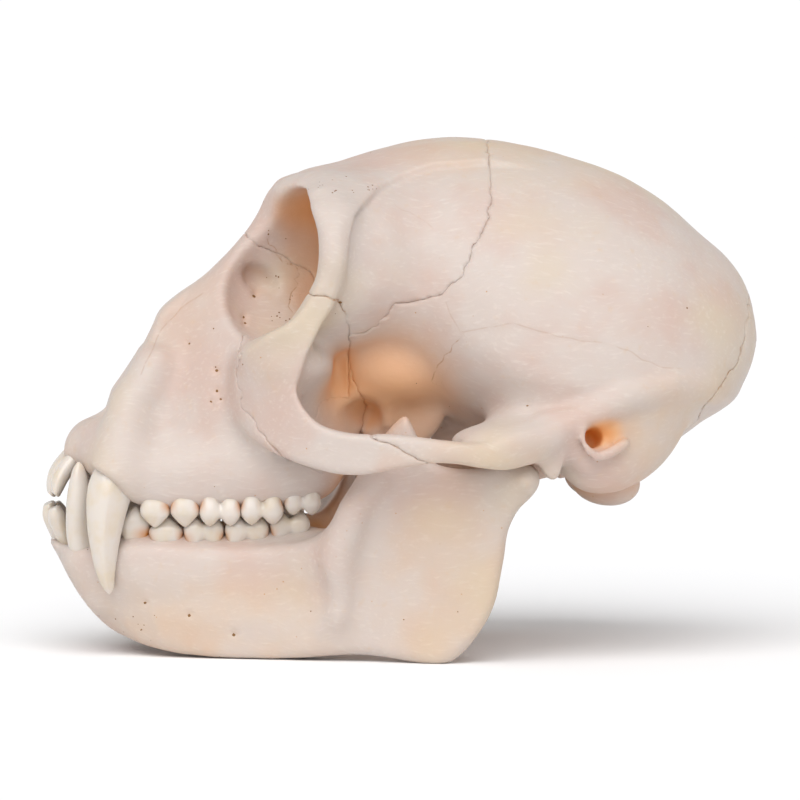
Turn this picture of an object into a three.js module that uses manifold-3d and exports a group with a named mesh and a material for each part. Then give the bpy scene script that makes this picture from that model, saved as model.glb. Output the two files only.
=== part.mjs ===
// A life-size monkey skull, a male guenon, resting on its lower jaw with the teeth closed.
// The muzzle points along -X, Z is up and Y = 0 is the midline, so the animal's left side is -Y. Millimetres.
//
// Each bone is a solid given by a formula: a number for every point of space that is negative inside
// the bone and grows with the distance from its surface. The numbers of several simple forms are
// blended, so that one form flows into the next as bone does, and a net of faces is then laid over
// the surface where the number is zero. The formulas are written for one side of the head and are
// read at |y|, which makes the other side its mirror image.
import * as THREE from "three";
import { mergeVertices } from "three/addons/utils/BufferGeometryUtils.js";
import Module from "manifold-3d";

const wasm = await Module();
wasm.setup();

// Driving sizes
const GAP = 0.3; // between neighbouring bones, and between upper and lower teeth
const ARCH_REACH = 35.4; // from the midline to the outside of the cheek arch, at its widest
const BRAINCASE_HALF = 28.6; // half the width of the braincase above the ears
const EYE_SPAN = 22.6; // width of an eye socket
const EYE_HEIGHT = 22.0;
const EYE_DEPTH = 16.5; // from the socket's middle to its apex
const WALL = 2.5; // bone round the eye socket
const PALATE_HALF = 9.2; // half the width of the palate between the teeth
const SOCKET_LINE = 24.7; // height of the upper tooth sockets' rim over the floor
const JAW_LINE = 17.2; // height of the lower tooth sockets' rim
// Spacing of each bone's net, and how many faces are left on it once the smooth stretches are thinned
const NET = {
  forehead: { cell: 1.6, faces: 1500 },
  braincase: { cell: 1.9, faces: 2100 },
  occiput: { cell: 1.7, faces: 700 },
  face: { cell: 1.45, faces: 2600 },
  cheek: { cell: 1.3, faces: 700 },
  jaw: { cell: 1.5, faces: 2300 },
};

// Blending

const clamp = (value, low, high) => Math.min(high, Math.max(low, value));

function ramp(value, from, to) {
  const t = clamp((value - from) / (to - from), 0, 1);
  return t * t * (3 - 2 * t);
}

function mix(a, b, t) {
  return a + (b - a) * t;
}

// The smaller of two numbers, rounded over where they are within k of each other.
function low(a, b, k) {
  const h = Math.max(k - Math.abs(a - b), 0) / k;
  return Math.min(a, b) - (h * h * k) / 4;
}

function high(a, b, k) {
  return -low(-a, -b, k);
}

const join =
  (k, ...forms) =>
  (x, y, z) =>
    forms.reduce((sum, form) => low(sum, form(x, y, z), k), 1e3);

const carve =
  (k, body, ...hollows) =>
  (x, y, z) =>
    hollows.reduce((rest, hollow) => high(rest, -hollow(x, y, z), k), body(x, y, z));

// Forms

// A smooth line through [place, value] stations, as a function of the place.
function curve(...stations) {
  const slopes = stations.map((_, i) => {
    const a = stations[Math.max(i - 1, 0)];
    const b = stations[Math.min(i + 1, stations.length - 1)];
    return (b[1] - a[1]) / (b[0] - a[0]);
  });
  return (at) => {
    const place = clamp(at, stations[0][0], stations.at(-1)[0]);
    let i = 0;
    while (i < stations.length - 2 && place > stations[i + 1][0]) i += 1;
    const span = stations[i + 1][0] - stations[i][0];
    const t = (place - stations[i][0]) / span;
    const u = 1 - t;
    return (
      u * u * (1 + 2 * t) * stations[i][1] +
      t * t * (1 + 2 * u) * stations[i + 1][1] +
      t * u * span * (u * slopes[i] - t * slopes[i + 1])
    );
  };
}

// A closed outline seen from the side, smooth through its [x, z] corners. Its number is the distance
// from the outline in that view.
function sideOutline(...corners) {
  const line = new THREE.CatmullRomCurve3(
    corners.map(([x, z]) => new THREE.Vector3(x, 0, z)),
    true,
    "catmullrom",
  );
  const ring = line.getPoints(corners.length * 3);
  return (x, _, z) => {
    let nearest = 1e9;
    let inside = false;
    for (let i = 1; i < ring.length; i += 1) {
      const a = ring[i - 1];
      const b = ring[i];
      const dx = b.x - a.x;
      const dz = b.z - a.z;
      const t = clamp(((x - a.x) * dx + (z - a.z) * dz) / (dx * dx + dz * dz || 1), 0, 1);
      nearest = Math.min(nearest, Math.hypot(x - a.x - t * dx, z - a.z - t * dz));
      if (a.z > z !== b.z > z && x < a.x + ((z - a.z) / dz) * dx) inside = !inside;
    }
    return inside ? -nearest : nearest;
  };
}

// An ellipsoid whose first radius lies along the direction axis, and whose second is level.
function ellipsoid(centre, radii, axis = [1, 0, 0]) {
  const a = new THREE.Vector3(...axis).normalize();
  const b = new THREE.Vector3(-a.y, a.x, 0).normalize();
  const c = new THREE.Vector3().crossVectors(a, b);
  return (x, y, z) => {
    const p = new THREE.Vector3(x - centre[0], y - centre[1], z - centre[2]);
    const q = [p.dot(a) / radii[0], p.dot(b) / radii[1], p.dot(c) / radii[2]];
    const size = Math.hypot(...q);
    const slope = Math.hypot(q[0] / radii[0], q[1] / radii[1], q[2] / radii[2]);
    return slope < 1e-6 ? -Math.min(...radii) : (size * (size - 1)) / slope;
  };
}

// A round bar through [x, y, z, radius] points.
function bar(...points) {
  return (x, y, z) => {
    let nearest = 1e9;
    for (let i = 1; i < points.length; i += 1) {
      const [ax, ay, az, ar] = points[i - 1];
      const [bx, by, bz, br] = points[i];
      const d = [bx - ax, by - ay, bz - az];
      const along = (x - ax) * d[0] + (y - ay) * d[1] + (z - az) * d[2];
      const t = clamp(along / (d[0] * d[0] + d[1] * d[1] + d[2] * d[2]), 0, 1);
      const away = Math.hypot(x - ax - t * d[0], y - ay - t * d[1], z - az - t * d[2]);
      nearest = Math.min(nearest, away - mix(ar, br, t));
    }
    return nearest;
  };
}

// A bent plate with that side outline. middle(x, z) is its distance from the midline, and
// thickness(x, z) its thickness.
function plate(outline, middle, thickness, round) {
  return (x, y, z) => {
    const half = thickness(x, z) / 2;
    return high(outline(x, y, z), Math.abs(y - middle(x, z)) - half, round);
  };
}

// Braincase

const caseTop = curve(
  [-17, 71.6],
  [-14.4, 73.2],
  [-9, 74.8],
  [-3, 76.7],
  [3, 78],
  [9, 78.4],
  [17, 77.6],
  [25, 75.7],
  [33, 72.9],
  [40, 69],
  [46, 63.8],
  [50.4, 59.8],
  [53.4, 55],
  [55.1, 48.6],
);
const caseBottom = curve(
  [-17, 60],
  [-10, 48],
  [-4, 42.5],
  [2, 38],
  [9, 34],
  [17, 31],
  [25, 29.4],
  [33, 28.4],
  [40, 30.6],
  [46, 34.6],
  [50.4, 37.6],
  [53.4, 42.6],
  [55.1, 48.6],
);
const caseWidest = curve([-17, 66], [-8, 61.5], [2, 57], [9, 53], [17, 49.5], [25, 46.5], [40, 44.5], [55, 47]);
const caseHalf = curve(
  [-17, 9],
  [-10, 16.8],
  [-4, 20.2],
  [2, 22.6],
  [9, 25.4],
  [17, 27.8],
  [25, BRAINCASE_HALF],
  [33, 28],
  [40, 25.6],
  [46, 21.6],
  [50.4, 16.6],
  [53.4, 10.4],
  [55.1, 1],
);

function braincase(x, y, z) {
  const widest = caseWidest(x);
  const height = z > widest ? caseTop(x) - widest : widest - caseBottom(x);
  const half = Math.max(caseHalf(x), 0.5);
  const size = Math.hypot(y / half, (z - widest) / Math.max(height, 0.5));
  const across = (size - 1) * Math.min(half, height);
  return high(across, Math.abs(x - 19) - 36.1, 2.5);
}

// Face

const nose = sideOutline(
  [-50.8, 30.2],
  [-49.2, 32.8],
  [-45.7, 36.2],
  [-42, 40.5],
  [-38.3, 48.9],
  [-36, 52.9],
  [-29.1, 58.1],
  [-23.6, 64],
  [-19.9, 69.5],
  [-14.4, 72.6],
  [-6, 71],
  [-2, 58],
  [-3, 42],
  [-8, 32],
  [-10, 26.6],
  [-14, SOCKET_LINE + 0.6],
  [-24.8, SOCKET_LINE],
  [-35.3, SOCKET_LINE - 0.2],
  [-40.5, SOCKET_LINE + 0.7],
  [-43.6, 27.2],
  [-47, 29.6],
);
const noseLow = curve([-52, 6.5], [-49, 9.6], [-46, 13.4], [-43, 15], [-37, 15.4], [-28, 16.8], [-20, 17.6], [-14, 17], [-9, 14], [-4, 10]);
const noseMiddle = curve([-50, 6], [-45, 9.6], [-40, 11.8], [-34, 13], [-28, 15.6], [-22, 17.4], [-16, 16.4], [-8, 12]);
const noseHigh = curve([-50, 5.4], [-46, 7.4], [-42, 8], [-38, 7.2], [-32, 5.6], [-25, 4], [-20, 3.6], [-16, 4.4], [-8, 8]);

function muzzle(x, y, z) {
  const from = SOCKET_LINE;
  const to = mix(36, 66, ramp(x, -50, -20));
  const t = clamp((z - from) / (to - from), 0, 1);
  const u = 1 - t;
  const half = u * u * noseLow(x) + 2 * t * u * (2 * noseMiddle(x) - (noseLow(x) + noseHigh(x)) / 2) + t * t * noseHigh(x);
  return high(nose(x, y, z), (y - half) * 0.86, 2.4);
}

// Eye socket, as the hollow itself, and the cup of bone behind it

const EYE = { centre: [-13.2, 14.1, 59.7], axis: [0.93, -0.36, -0.1] };
const eye = ellipsoid(EYE.centre, [EYE_DEPTH, EYE_SPAN / 2, EYE_HEIGHT / 2], EYE.axis);
const eyeFlare = ellipsoid([-21, 15.6, 58.4], [8, 10.8, 10.6]);
const rimNormal = new THREE.Vector3(-0.88, 0.383, 0.281);
const rimCentre = new THREE.Vector3(-17.2, 15.5, 60.3);

function eyeCup(x, y, z) {
  const ahead = new THREE.Vector3(x, y, z).sub(rimCentre).dot(rimNormal);
  return high(eye(x, y, z) - WALL, ahead - 0.4, 2);
}

const brow = bar(
  [-17.9, 1, 68.6, 2],
  [-17, 7, 69.6, 2],
  [-15.4, 14, 70.2, 1.9],
  [-13, 21, 68.9, 2.1],
  [-11.4, 25.4, 65, 2.3],
  [-10.9, 27, 60, 2.3],
);

// Cheekbone and arch: one bent plate from the brow to the ear

const cheekOutline = sideOutline(
  [-13.8, 68.5],
  [-13.6, 64],
  [-13.6, 58.5],
  [-17, 52],
  [-22, 48.6],
  [-25.6, 44],
  [-25, 36],
  [-20.4, 31.8],
  [-12.6, 29.1],
  [-7.5, 28.7],
  [-1, 29.8],
  [5, 30.6],
  [13, 29.6],
  [20, 31],
  [20, 34],
  [12, 33.2],
  [5, 33.8],
  [-2, 34.7],
  [-9, 34.8],
  [-13.6, 36.2],
  [-16.3, 39.6],
  [-16.4, 43],
  [-13.4, 50],
  [-9.8, 56],
  [-8.8, 62],
  [-7.4, 67.6],
);
const archOut = curve([-27, 17.5], [-23, 23.5], [-18, 28], [-13, 30.8], [-6, 33.4], [0, 34.8], [5, ARCH_REACH], [11, 34.6], [16, 32.4], [21, 29.4]);
const pillarOut = curve([48, 29], [56, 29.2], [62, 28.6], [67, 26.4], [71, 22]);
const cheekMiddle = (x, z) => mix(archOut(x), pillarOut(z), ramp(z, 42, 55)) - cheekThick(x, z) / 2;
const cheekThick = (x, z) => mix(mix(5.2, 3.6, ramp(x, -16, -4)), 4.4, ramp(z, 42, 52));
const cheek = plate(cheekOutline, cheekMiddle, cheekThick, 1.3);
const cheekFloor = ellipsoid([-17.6, 19.6, 44.6], [6.4, 7.6, 4.2]);
const cheekRoot = ellipsoid([-19, 17.6, 40.6], [5.2, 6, 8], [0.62, 0.78, 0]);

// Swellings over the roots of the upper teeth. The canine's has a slanted rim that the tooth comes out of.

const sockets = bar([-40.6, 13.2, 27.8, 3.4], [-34, 14, 28, 3.5], [-22, 15, 28.4, 3.7], [-14, 14.8, 28.8, 3.2]);
const canineBulge = bar([-44.1, 14.4, 27.5, 3.9], [-43, 13, 31.4, 3.8], [-41.2, 10.8, 38, 3.2], [-37.6, 9.6, 44, 2.4]);
const canineRoot = (x, y, z) => high(canineBulge(x, y, z), (28.9 - 0.5 * (x + 47) - z) * 0.89, 1);

// Ear region, base and back

const archRoot = ellipsoid([16.5, 26.4, 33.4], [8.5, 6.6, 3], [0.94, -0.34, 0.08]);
const crest = bar(
  [14, 31.2, 32.4, 1.9],
  [19, 29.3, 33.4, 1.9],
  [25, 28, 36.4, 1.6],
  [32, 27.4, 39.6, 1.4],
  [39, 25, 41.6, 1.4],
  [45, 20, 41, 1.5],
  [48.6, 12.4, 40, 1.4],
  [50.4, 0, 40, 1.4],
);
const condyleHollow = ellipsoid([16.4, 23.6, 27.4], [4.6, 8.6, 3.3], [0.97, -0.24, 0]);
const stop = bar([22, 24, 33, 3], [22.8, 24.4, 30.4, 2], [22.7, 24.6, 28.6, 1.2]);
const earTube = bar([19, 12.5, 30.6, 4.2], [23.5, 19, 31.6, 3.6], [27, 25, 33, 3.2]);
const earHole = bar([26.4, 24.6, 33.4, 1.7], [28, 32, 33.8, 2.6]);
const mastoid = ellipsoid([31.6, 20.6, 31.8], [8.6, 5, 6.4], [0.9, -0.43, 0.1]);
const neckJoint = ellipsoid([31, 8.2, 26], [5.6, 2.9, 3.7], [0.88, 0.46, -0.1]);
const baseBar = bar([-2, 0, 36, 4.6], [10, 0, 33.4, 4.8], [24, 0, 31, 5.2]);
const skullHole = bar([37, 0, 20, 6.4], [33, 0, 32, 6.6], [29, 0, 44, 8]);
const skullHollow = ellipsoid([25, 0, 53.5], [22, 21, 17.5], [0.97, 0, -0.22]);
const wing = plate(
  sideOutline([-9, 27], [-5.5, 24.4], [-2, 24.6], [1, 30], [6, 36], [0, 40], [-7, 38]),
  (x) => 8.6 + (x + 9) * 0.16,
  () => 3.4,
  2,
);
const noseHole = ellipsoid([-42.2, 0, 41.6], [8.6, 4.9, 5.6], [0.5, 0, 0.87]);
const noseTunnel = bar([-42, 0, 40.6, 3.8], [-26, 0, 40, 4.2]);
const throatHole = bar([4, 0, 27, 5.6], [-4, 0, 33.4, 5], [-14, 0, 36, 4]);
const palate = ellipsoid([-27, 0, SOCKET_LINE - 1], [22.4, PALATE_HALF, 6]);
const templeFloor = ellipsoid([-0.6, 10, 43.6], [10, 7.6, 6]);
const templePit = ellipsoid([-6.6, 15.4, 36.3], [2.7, 5.4, 2.7], [1, 0.25, 0]);

const cranium = carve(
  1.6,
  join(
    2.4,
    join(5, braincase, eyeCup, mastoid),
    join(4, muzzle, cheekRoot, cheekFloor, sockets, canineRoot),
    join(2, brow, cheek),
    archRoot,
    crest,
    stop,
    earTube,
    baseBar,
    neckJoint,
    wing,
    templeFloor,
  ),
  join(3, eye, eyeFlare),
  noseHole,
  noseTunnel,
  throatHole,
  palate,
  condyleHollow,
  earHole,
  skullHole,
  skullHollow,
  templePit,
);

// Lower jaw

const jawOutline = sideOutline(
  [-53.4, 17],
  [-52.6, 14.4],
  [-49.8, 8.8],
  [-45, 3.9],
  [-38, 1.3],
  [-30, 0],
  [-22, -0.3],
  [-15, 0.3],
  [-8, 0.9],
  [-2, 0.5],
  [4, -0.3],
  [8, 1.6],
  [12.2, 7.4],
  [14, 14.8],
  [15, 20.3],
  [18, 25.8],
  [18.2, 28.6],
  [15, 30],
  [9, 29.2],
  [4, 30],
  [2, 32.8],
  [0.2, 36.4],
  [-0.8, 36.9],
  [-3, 34.8],
  [-5.2, 31.4],
  [-7.6, 27],
  [-9.6, 22],
  [-12.6, 19.2],
  [-18, 17.6],
  [-28, JAW_LINE - 0.4],
  [-38.5, JAW_LINE],
  [-44, JAW_LINE - 0.2],
  [-48, 15.8],
);
const jawLine = [
  [-50.6, 0],
  [-49.4, 5],
  [-46, 9],
  [-41, 11.4],
  [-34, 12.8],
  [-26, 14.2],
  [-18, 16.2],
  [-10, 19.4],
  [-3, 22.6],
  [4, 24.6],
  [11, 25.2],
  [18, 24.6],
];
const jawThick = (x, z) => mix(8.6, 3.8, ramp(x, -16, -3)) + 1.2 * ramp(x, 8, 14) - 1.6 * ramp(-z, -7, 0) * ramp(-x, 0, 16);

// Distance, seen from above, to the jaw's line. The chin leans back, so the line's front slides back lower down.
function jawBody(x, y, z) {
  const leant = x - 0.6 * (16 - z) * ramp(-x, 26, 44);
  let nearest = 1e9;
  for (let i = 1; i < jawLine.length; i += 1) {
    const [ax, ay] = jawLine[i - 1];
    const [bx, by] = jawLine[i];
    const t = clamp(((leant - ax) * (bx - ax) + (y - ay) * (by - ay)) / ((bx - ax) ** 2 + (by - ay) ** 2), 0, 1);
    nearest = Math.min(nearest, Math.hypot(leant - mix(ax, bx, t), y - mix(ay, by, t)));
  }
  return high(nearest - jawThick(x, z) / 2, jawOutline(x, y, z), 2.2);
}

const toothRidge = bar([-44, 10.4, 13, 3.8], [-36, 12.4, 13, 3.9], [-26, 13.2, 13.2, 4], [-13, 14.6, 14.6, 3.9]);
const jawCanineRoot = bar([-49, 9.8, 14, 2.4], [-46, 9.8, 9, 2.2]);
const branchEdge = bar([-5, 25.2, 28, 1], [-8.3, 25.2, 23, 1.5], [-10.4, 24.4, 17, 1.9], [-11.8, 23.4, 8, 1.6]);
const jawDip = ellipsoid([-19, 25.6, 9], [7.5, 4.4, 6]);
const jawJoint = ellipsoid([16, 24, 27.5], [2.9, 6, 2.5], [0.97, -0.24, 0]);
const floor = (x, y, z) => -z;

const jaw = (x, y, z) => {
  const body = join(2.6, join(5, jawBody, branchEdge), jawJoint, toothRidge, jawCanineRoot);
  const bone = carve(3, body, jawDip)(x, y, z);
  return high(bone, floor(x, y, z), 0.4);
};

// A net of faces over the surface where the formula is zero, in a box from lowest to highest corner.

const CORNERS = Array.from({ length: 8 }, (_, i) => [i & 1, (i >> 1) & 1, i >> 2]);
const EDGES = [];
CORNERS.forEach((a, i) =>
  CORNERS.forEach((b, j) => {
    if (i < j && a.filter((value, k) => value !== b[k]).length === 1) EDGES.push([i, j]);
  }),
);

// For each pattern of inside corners: whether the inside ones, and the outside ones, hang together.
const WHOLE = Array.from({ length: 256 }, (_, pattern) =>
  [true, false].every((side) => {
    const members = CORNERS.map((_, i) => i).filter((i) => Boolean(pattern & (1 << i)) === side);
    const reached = new Set(members.slice(0, 1));
    for (let pass = 0; pass < 8; pass += 1)
      EDGES.forEach(([i, j]) => {
        if (!members.includes(i) || !members.includes(j)) return;
        if (reached.has(i) || reached.has(j)) reached.add(i).add(j);
      });
    return reached.size === members.length;
  }),
);

function net(formula, lowest, highest, cell) {
  const steps = lowest.map((value, k) => Math.ceil((highest[k] - value) / cell) + 1);
  const [nx, ny, nz] = steps;
  const at = (i, j, k) => (k * ny + j) * nx + i;
  const place = (...step) => lowest.map((value, k) => value + step[k] * cell);
  const values = new Float32Array(nx * ny * nz);
  for (let k = 0; k < nz; k += 1)
    for (let j = 0; j < ny; j += 1)
      for (let i = 0; i < nx; i += 1) {
        const [x, y, z] = place(i, j, k);
        const edge = i === 0 || j === 0 || k === 0 || i === nx - 1 || j === ny - 1 || k === nz - 1;
        values[at(i, j, k)] = edge ? cell : formula(x, Math.abs(y), z) || 1e-5;
      }
  const offsets = CORNERS.map(([a, b, c]) => at(a, b, c));
  const cells = [];
  for (let k = 0; k < nz - 1; k += 1)
    for (let j = 0; j < ny - 1; j += 1) for (let i = 0; i < nx - 1; i += 1) cells.push([i, j, k]);
  const pattern = (start) => offsets.reduce((sum, o, n) => sum | (values[start + o] < 0 ? 1 << n : 0), 0);

  // A cell that two sheets of the surface pass through is filled until only one does.
  for (let changed = true; changed; ) {
    changed = false;
    for (const [i, j, k] of cells) {
      const start = at(i, j, k);
      if (WHOLE[pattern(start)]) continue;
      const open = offsets.map((o) => start + o).filter((o) => values[o] > 0);
      const nearest = open.reduce((best, o) => (values[o] < values[best] ? o : best));
      values[nearest] = -1e-3;
      changed = true;
    }
  }

  const points = [];
  const pointOf = new Map();
  for (const [i, j, k] of cells) {
    const start = at(i, j, k);
    const inside = pattern(start);
    if (inside === 0 || inside === 255) continue;
    const sum = [0, 0, 0];
    let crossings = 0;
    for (const [a, b] of EDGES) {
      const va = values[start + offsets[a]];
      const vb = values[start + offsets[b]];
      if (va < 0 === vb < 0) continue;
      const t = va / (va - vb);
      for (let n = 0; n < 3; n += 1) sum[n] += mix(CORNERS[a][n], CORNERS[b][n], t);
      crossings += 1;
    }
    pointOf.set(start, points.length / 3);
    const middle = place(i, j, k).map((value, n) => value + (sum[n] / crossings) * cell);
    points.push(...drawOn(formula, middle, cell * 0.4));
  }

  const faces = [];
  const spans = [at(1, 0, 0), at(0, 1, 0), at(0, 0, 1)];
  for (const [i, j, k] of cells) {
    const start = at(i, j, k);
    for (let n = 0; n < 3; n += 1) {
      const here = values[start] < 0;
      if (here === values[start + spans[n]] < 0) continue;
      const u = spans[(n + 1) % 3];
      const v = spans[(n + 2) % 3];
      const ring = [start, start - u, start - u - v, start - v].map((c) => pointOf.get(c));
      if (ring.some((corner) => corner === undefined)) continue;
      const [a, b, c, d] = here ? ring : ring.reverse();
      const across = (p, q) =>
        Math.hypot(points[p * 3] - points[q * 3], points[p * 3 + 1] - points[q * 3 + 1], points[p * 3 + 2] - points[q * 3 + 2]);
      if (across(a, c) < across(b, d)) faces.push(a, b, c, a, c, d);
      else faces.push(b, c, d, b, d, a);
    }
  }
  return new THREE.BufferGeometry()
    .setAttribute("position", new THREE.Float32BufferAttribute(points, 3))
    .setIndex(faces);
}

// Moves a point towards the surface, along the formula's slope, by at most reach.
function drawOn(formula, point, reach) {
  const step = 0.05;
  const [x, y, z] = point;
  const value = (a, b, c) => formula(a, Math.abs(b), c);
  const here = value(x, y, z);
  const slope = [
    (value(x + step, y, z) - value(x - step, y, z)) / (2 * step),
    (value(x, y + step, z) - value(x, y - step, z)) / (2 * step),
    (value(x, y, z + step) - value(x, y, z - step)) / (2 * step),
  ];
  const steep = slope[0] ** 2 + slope[1] ** 2 + slope[2] ** 2;
  if (steep < 0.04) return point;
  return point.map((value, n) => value - clamp((here * slope[n]) / steep, -reach, reach));
}

// Thins a closed net to about the given number of faces. Each step joins the two neighbouring points
// whose joint place stays nearest to the planes of the faces around them, so flat stretches get
// large faces and edges keep small ones.
function thinned(geometry, target) {
  const points = Float64Array.from(geometry.attributes.position.array);
  const faces = [];
  for (let i = 0; i < geometry.index.count; i += 3) faces.push([0, 1, 2].map((k) => geometry.index.array[i + k]));
  const facesAt = Array.from({ length: points.length / 3 }, () => new Set());
  const planes = facesAt.map(() => new Float64Array(10));
  const point = (v) => new THREE.Vector3(points[v * 3], points[v * 3 + 1], points[v * 3 + 2]);
  const normal = (a, b, c) => b.clone().sub(a).cross(c.clone().sub(a));
  faces.forEach((face, f) => {
    const across = normal(...face.map(point));
    const area = across.length() || 1e-12;
    const { x, y, z } = across.clone().divideScalar(area);
    const d = -point(face[0]).dot(new THREE.Vector3(x, y, z));
    const plane = [x * x, x * y, x * z, x * d, y * y, y * z, y * d, z * z, z * d, d * d];
    for (const v of face) {
      facesAt[v].add(f);
      plane.forEach((value, k) => (planes[v][k] += value * area));
    }
  });
  const error = (q, { x, y, z }) =>
    q[0] * x * x + 2 * q[1] * x * y + 2 * q[2] * x * z + 2 * q[3] * x + q[4] * y * y + 2 * q[5] * y * z + 2 * q[6] * y + q[7] * z * z + 2 * q[8] * z + q[9];
  const joined = (u, v) => {
    const q = planes[u].map((value, k) => value + planes[v][k]);
    const a = point(u);
    const b = point(v);
    const places = [a, b, a.clone().lerp(b, 0.5)];
    const matrix = new THREE.Matrix3().set(q[0], q[1], q[2], q[1], q[4], q[5], q[2], q[5], q[7]);
    if (Math.abs(matrix.determinant()) > 1e-3) {
      const best = new THREE.Vector3(-q[3], -q[6], -q[8]).applyMatrix3(matrix.invert());
      if (best.distanceTo(places[2]) < a.distanceTo(b)) places.push(best);
    }
    const errors = places.map((at) => error(q, at));
    const n = errors.indexOf(Math.min(...errors));
    return { u, v, at: places[n], cost: errors[n] + 2e-3 * a.distanceToSquared(b) };
  };
  const neighbours = (v) => new Set([...facesAt[v]].flatMap((f) => faces[f]).filter((w) => w !== v));

  // A heap of the joins, the cheapest first. A join of a point that has moved since is passed over.
  const age = new Uint32Array(facesAt.length);
  const heap = [];
  const push = (entry) => {
    heap.push(entry);
    for (let i = heap.length - 1; i > 0; ) {
      const up = (i - 1) >> 1;
      if (heap[up].cost <= heap[i].cost) break;
      [heap[up], heap[i]] = [heap[i], heap[up]];
      i = up;
    }
  };
  const pop = () => {
    const first = heap[0];
    const last = heap.pop();
    if (heap.length > 0) {
      heap[0] = last;
      for (let i = 0; ; ) {
        const left = 2 * i + 1;
        if (left >= heap.length) break;
        const child = left + 1 < heap.length && heap[left + 1].cost < heap[left].cost ? left + 1 : left;
        if (heap[i].cost <= heap[child].cost) break;
        [heap[i], heap[child]] = [heap[child], heap[i]];
        i = child;
      }
    }
    return first;
  };
  const offer = (u, v) => push({ ...joined(u, v), ages: [age[u], age[v]] });
  facesAt.forEach((_, v) => neighbours(v).forEach((w) => w > v && offer(v, w)));

  for (let left = faces.length; left > target && heap.length > 0; ) {
    const { u, v, at, ages } = pop();
    if (ages[0] !== age[u] || ages[1] !== age[v] || facesAt[u].size === 0 || facesAt[v].size === 0) continue;
    const shared = [...facesAt[u]].filter((f) => facesAt[v].has(f));
    const around = neighbours(u);
    const common = [...neighbours(v)].filter((w) => around.has(w));
    if (shared.length !== 2 || common.length !== 2) continue;
    const turns = [...facesAt[u], ...facesAt[v]].some((f) => {
      if (shared.includes(f)) return false;
      const before = normal(...faces[f].map(point));
      const after = normal(...faces[f].map((w) => (w === u || w === v ? at : point(w))));
      return before.dot(after) < 0.25 * before.length() * after.length() || after.length() < 1e-4;
    });
    if (turns) continue;
    for (const f of shared) for (const w of faces[f]) facesAt[w].delete(f);
    for (const f of facesAt[v]) {
      faces[f][faces[f].indexOf(v)] = u;
      facesAt[u].add(f);
    }
    shared.forEach((f) => (faces[f] = null));
    facesAt[v].clear();
    planes[v].forEach((value, k) => (planes[u][k] += value));
    points.set(at.toArray(), u * 3);
    age[u] += 1;
    left -= 2;
    neighbours(u).forEach((w) => offer(u, w));
  }
  const kept = faces.filter(Boolean);
  const names = new Map();
  kept.flat().forEach((v) => names.has(v) || names.set(v, names.size));
  return new THREE.BufferGeometry()
    .setAttribute("position", new THREE.Float32BufferAttribute([...names.keys()].flatMap((v) => point(v).toArray()), 3))
    .setIndex(kept.flat().map((v) => names.get(v)));
}

// Solids

function solid(geometry) {
  const bare = geometry.clone();
  bare.deleteAttribute("normal");
  bare.deleteAttribute("uv");
  const merged = mergeVertices(bare, 1e-4);
  return new wasm.Manifold(
    new wasm.Mesh({
      numProp: 3,
      vertProperties: new Float32Array(merged.attributes.position.array),
      triVerts: new Uint32Array(merged.index.array),
    }),
  );
}

// The largest closed surface of a solid, as a geometry.
function geometryOf(made) {
  const largest = made.decompose().reduce((best, piece) => (piece.volume() > best.volume() ? piece : best));
  const { numProp, vertProperties, triVerts } = largest.getMesh();
  const count = vertProperties.length / numProp;
  const points = new Float32Array(count * 3);
  for (let i = 0; i < count; i += 1) points.set(vertProperties.subarray(i * numProp, i * numProp + 3), i * 3);
  return new THREE.BufferGeometry()
    .setAttribute("position", new THREE.BufferAttribute(points, 3))
    .setIndex(new THREE.BufferAttribute(new Uint32Array(triVerts), 1));
}

// A prism over a side outline of [x, z] corners, from one y to another, its sides moved out by grow.
function prism(corners, from, to, grow = 0) {
  const count = corners.length;
  const area = corners.reduce((sum, [x, z], i) => {
    const [x2, z2] = corners[(i + 1) % count];
    return sum + (x * z2 - x2 * z) / 2;
  }, 0);
  const turn = Math.sign(area) * grow;
  const grown = corners.map((corner, i) => {
    const before = new THREE.Vector2(...corners[(i + count - 1) % count]);
    const after = new THREE.Vector2(...corners[(i + 1) % count]);
    const here = new THREE.Vector2(...corner);
    const a = here.clone().sub(before).normalize();
    const b = after.sub(here).normalize();
    const out = new THREE.Vector2(a.y + b.y, -a.x - b.x).normalize();
    const miter = Math.max(0.5, out.x * a.y - out.y * a.x);
    return here.add(out.multiplyScalar(turn / miter));
  });
  const block = new THREE.ExtrudeGeometry(new THREE.Shape(grown), {
    depth: to - from + 2 * grow,
    bevelEnabled: false,
  });
  block.rotateX(Math.PI / 2); // the shape's y becomes z, and the depth runs along -y
  block.translate(0, to + grow, 0);
  return solid(block);
}

function mirrored(geometry) {
  const other = geometry.clone().scale(1, -1, 1);
  const index = other.index.array;
  for (let i = 0; i < index.length; i += 3) [index[i], index[i + 1]] = [index[i + 1], index[i]];
  return other;
}

// Teeth. A crown is a box of faces rounded and given its points by a formula, from root to tip.

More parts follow.
